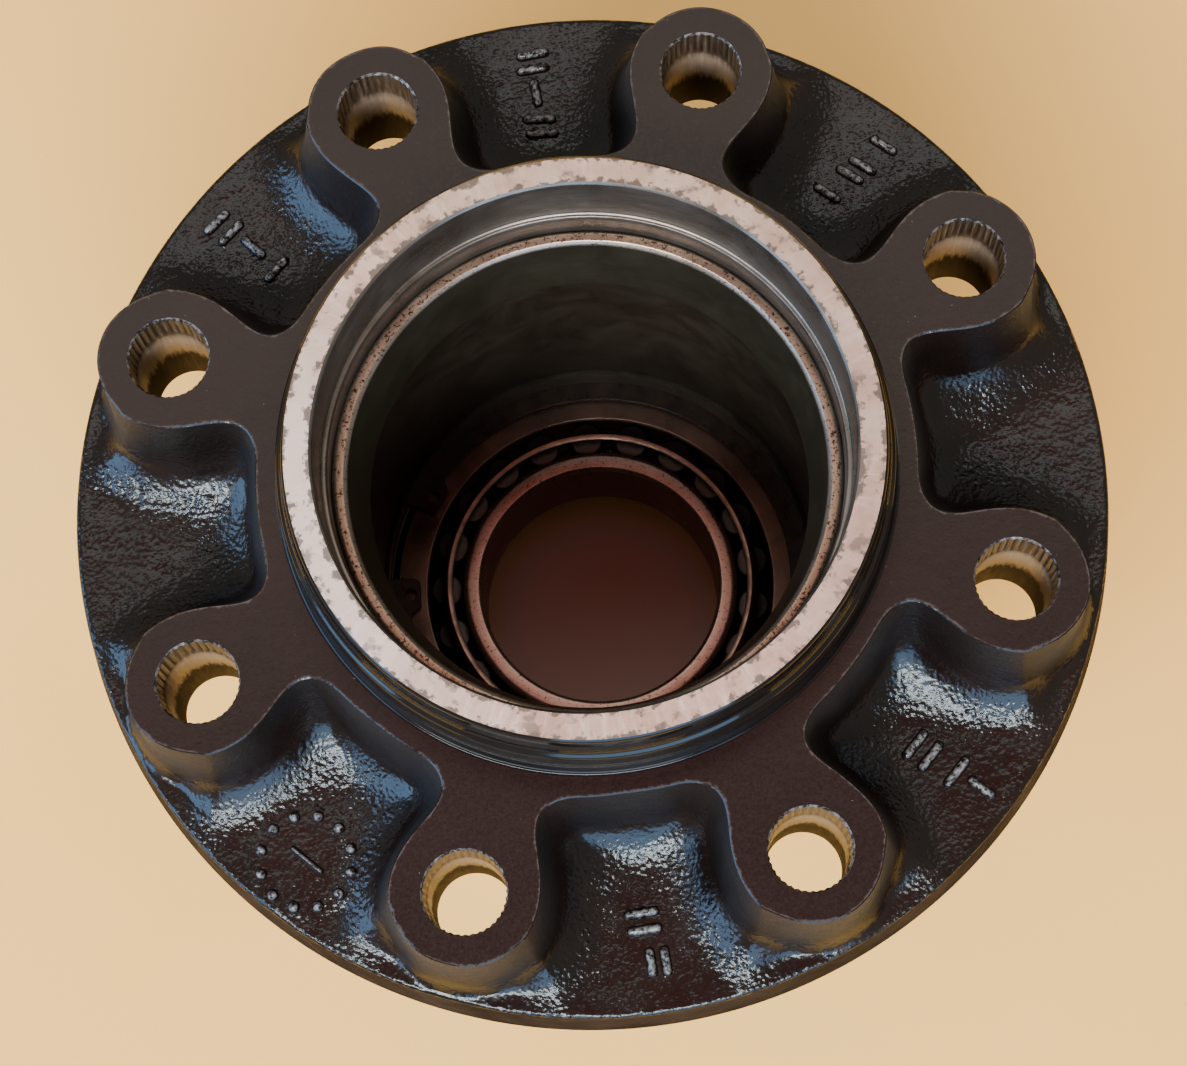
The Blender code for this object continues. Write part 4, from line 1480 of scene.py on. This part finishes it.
def ring_steel(name, low, high, specks_share=0.0, rough=(0.24, 0.40)):
    """Hardened bearing steel with fine grinding lines, and rust specks where it is dry."""
    s = Surface(name, metallic=0.8)
    lines = s.noise(0.14, 2.0, 0.6, s.polar(1.0))
    cloud = s.noise(12.0, 5.0, 0.6, distortion=0.4)
    color = s.tones(cloud, low, high)
    shade = tuple(0.45 * part for part in low)
    color = s.mix(s.span(lines, 0.35, 0.7, 0.0, 0.35), color, shade)
    if specks_share > 0:
        rare = 0.60 - 0.12 * specks_share
        specks = s.ramp(s.noise(0.62, 4.0, 0.72), (rare, 0.0), (rare + 0.06, 1.0))
        color = s.mix(specks, color, (0.030, 0.014, 0.010))
    return s.done(color, s.vary(cloud, *rough), s.bump(lines, 0.02, 0.5))


def roller_end_steel():
    """A roller's ends: dim grey steel, darkened over the outer part by black oil and painted shade."""
    s = Surface("roller_end_steel", metallic=0.6, specular=0.4)
    x, _, _ = s.parts()
    cloud = s.noise(1.6, 4.0, 0.6)
    color = s.tones(cloud, (0.050, 0.043, 0.041), (0.105, 0.092, 0.088))
    # Darkening of the outer part: partly oil, partly painted shade outside the cage.
    oil = s.span(s.plus(x, s.vary(cloud, -0.5, 0.5)), -1.7, -0.7)
    color = s.mix(oil, color, (0.0022, 0.0018, 0.0016))
    return s.done(color, s.vary(cloud, 0.36, 0.48), s.bump(cloud, 0.03, 0.5))


def pressed_steel():
    s = Surface("pressed_cage_steel", metallic=0.8)
    cloud = s.noise(5.0, 5.0, 0.65, distortion=0.4)
    color = s.tones(cloud, (0.13, 0.080, 0.063), (0.34, 0.22, 0.18))
    roughness = s.vary(s.noise(2.0, 4.0), 0.28, 0.46)
    return s.done(color, roughness, s.bump(s.noise(0.9, 3.0), 0.05, 0.5))


def blackened_spring_steel():
    s = Surface("blackened_spring_steel", metallic=0.5, specular=0.4)
    cloud = s.noise(4.0, 4.0, 0.65)
    color = s.tones(cloud, (0.010, 0.008, 0.007), (0.040, 0.030, 0.025))
    roughness = s.vary(s.noise(1.6, 4.0), 0.24, 0.44)
    return s.done(color, roughness, s.bump(s.noise(0.7, 3.0), 0.04, 0.5))


# ---------------------------------------------------------------- studio


FLOOR_HALF = 3.0
FLOOR_Z = -0.0006


def make_floor():
    """A pale floor, greyer under the bore as a painted tint for the light seen through it, and darker far
    away, where the object's sides mirror it.
    """
    mesh = bpy.data.meshes.new("floor")
    corners = [(-1, -1), (1, -1), (1, 1), (-1, 1)]
    mesh.from_pydata([(x * FLOOR_HALF, y * FLOOR_HALF, FLOOR_Z) for x, y in corners], [], [(0, 1, 2, 3)])
    s = Surface("pale_floor", specular=0.25)
    color = s.tones(s.noise(160.0, 3.0), (0.98, 0.53, 0.12), (0.99, 0.57, 0.145))
    # Painted light: the floor under the bore is tinted greyer.
    color = s.mix(s.span(s.radius(), 24.0, 34.0, 0.90, 0.0), color, (0.78, 0.72, 0.66))
    color = s.mix(s.span(s.radius(), 280.0, 900.0, 0.0, 0.88), color, (0.17, 0.10, 0.05))
    mesh.materials.append(s.done(color, s.vary(s.noise(3.0, 3.0), 0.55, 0.68)))
    floor = bpy.data.objects.new("floor", mesh)
    bpy.context.scene.collection.objects.link(floor)


LIGHTS_AIM = Vector((0.0, 0.0, 0.12))


def softbox(name, azimuth, elevation, distance, size, strength, color):
    """A rectangular light, in metres and degrees, the azimuth from +X. strength is its radiance."""
    data = bpy.data.lights.new(name, "AREA")
    data.shape = "RECTANGLE"
    data.size, data.size_y = size
    data.energy = strength * size[0] * size[1] * pi
    data.color = color
    turn, rise = radians(azimuth), radians(elevation)
    away = Vector((cos(turn) * cos(rise), sin(turn) * cos(rise), sin(rise)))
    light = bpy.data.objects.new(name, data)
    light.location = LIGHTS_AIM + away * distance
    light.rotation_euler = away.to_track_quat("Z", "Y").to_euler()
    bpy.context.scene.collection.objects.link(light)


def make_world():
    """A warm room, redder straight overhead."""
    world = bpy.data.worlds.new("room")
    world.use_nodes = True
    bpy.context.scene.world = world
    tree = world.node_tree
    background = tree.nodes["Background"]
    coordinates = tree.nodes.new("ShaderNodeTexCoord")
    split = tree.nodes.new("ShaderNodeSeparateXYZ")
    band = tree.nodes.new("ShaderNodeValToRGB")
    tree.links.new(coordinates.outputs["Generated"], split.inputs[0])
    tree.links.new(split.outputs["Z"], band.inputs["Fac"])
    tree.links.new(band.outputs["Color"], background.inputs["Color"])
    stops = [
        (0.0, (0.42, 0.38, 0.34)),
        (0.55, (0.44, 0.39, 0.31)),
        (0.93, (0.52, 0.44, 0.33)),
        (0.975, (0.68, 0.14, 0.12)),
    ]
    fill_ramp(band.color_ramp, stops)


def make_lights():
    softbox("key", 252.0, 49.0, 1.8, (1.5, 0.45), 34.0, (1.0, 0.98, 0.95))
    softbox("ceiling_back", 90.0, 67.0, 2.0, (2.2, 0.62), 2.1, (1.0, 0.92, 0.84))
    softbox("window_left", 192.0, 21.0, 1.6, (1.4, 1.1), 6.5, (0.36, 0.62, 1.0))
    softbox("window_front", 276.0, 20.0, 1.7, (1.4, 1.0), 5.2, (0.40, 0.66, 1.0))


def main():
    make_camera()
    make_world()
    make_lights()
    make_floor()
    make_hub(
        {
            "paint": gloss_paint(),
            "outer_paint": outer_paint(),
            "ring_wall": smooth_paint(),
            "face": faced_paint(),
            "ring_face": bare_ring_face(),
            "bore": turned_bore(),
            "cavity": oily_cavity(),
            "stud_hole": stud_hole_steel(),
            "lip": worn_lip(),
            "machined": machined_iron(),
        }
    )
    speckled = ring_steel("speckled_cup_face", (0.27, 0.185, 0.13), (0.44, 0.33, 0.25), 0.55)
    race = ring_steel("olive_race", (0.060, 0.055, 0.037), (0.095, 0.087, 0.060), 0.0, (0.30, 0.42))
    bright = ring_steel("bright_chamfer", (0.22, 0.175, 0.145), (0.36, 0.30, 0.25), 0.2)
    pink = ring_steel("pink_steel", (0.34, 0.23, 0.185), (0.56, 0.42, 0.365), 0.15)
    oiled = ring_steel("oiled_steel", (0.050, 0.036, 0.028), (0.17, 0.120, 0.095), 0.0, (0.22, 0.40))
    dark = ring_steel("dark_steel", (0.040, 0.030, 0.024), (0.090, 0.066, 0.054))
    make_inner_cup([speckled, race, bright])
    make_outer_cup([oiled, dark])
    make_cone([pink, dark, dark])
    make_rollers([roller_end_steel(), dark])
    make_cage(pressed_steel())
    make_snap_ring(blackened_spring_steel())


main()
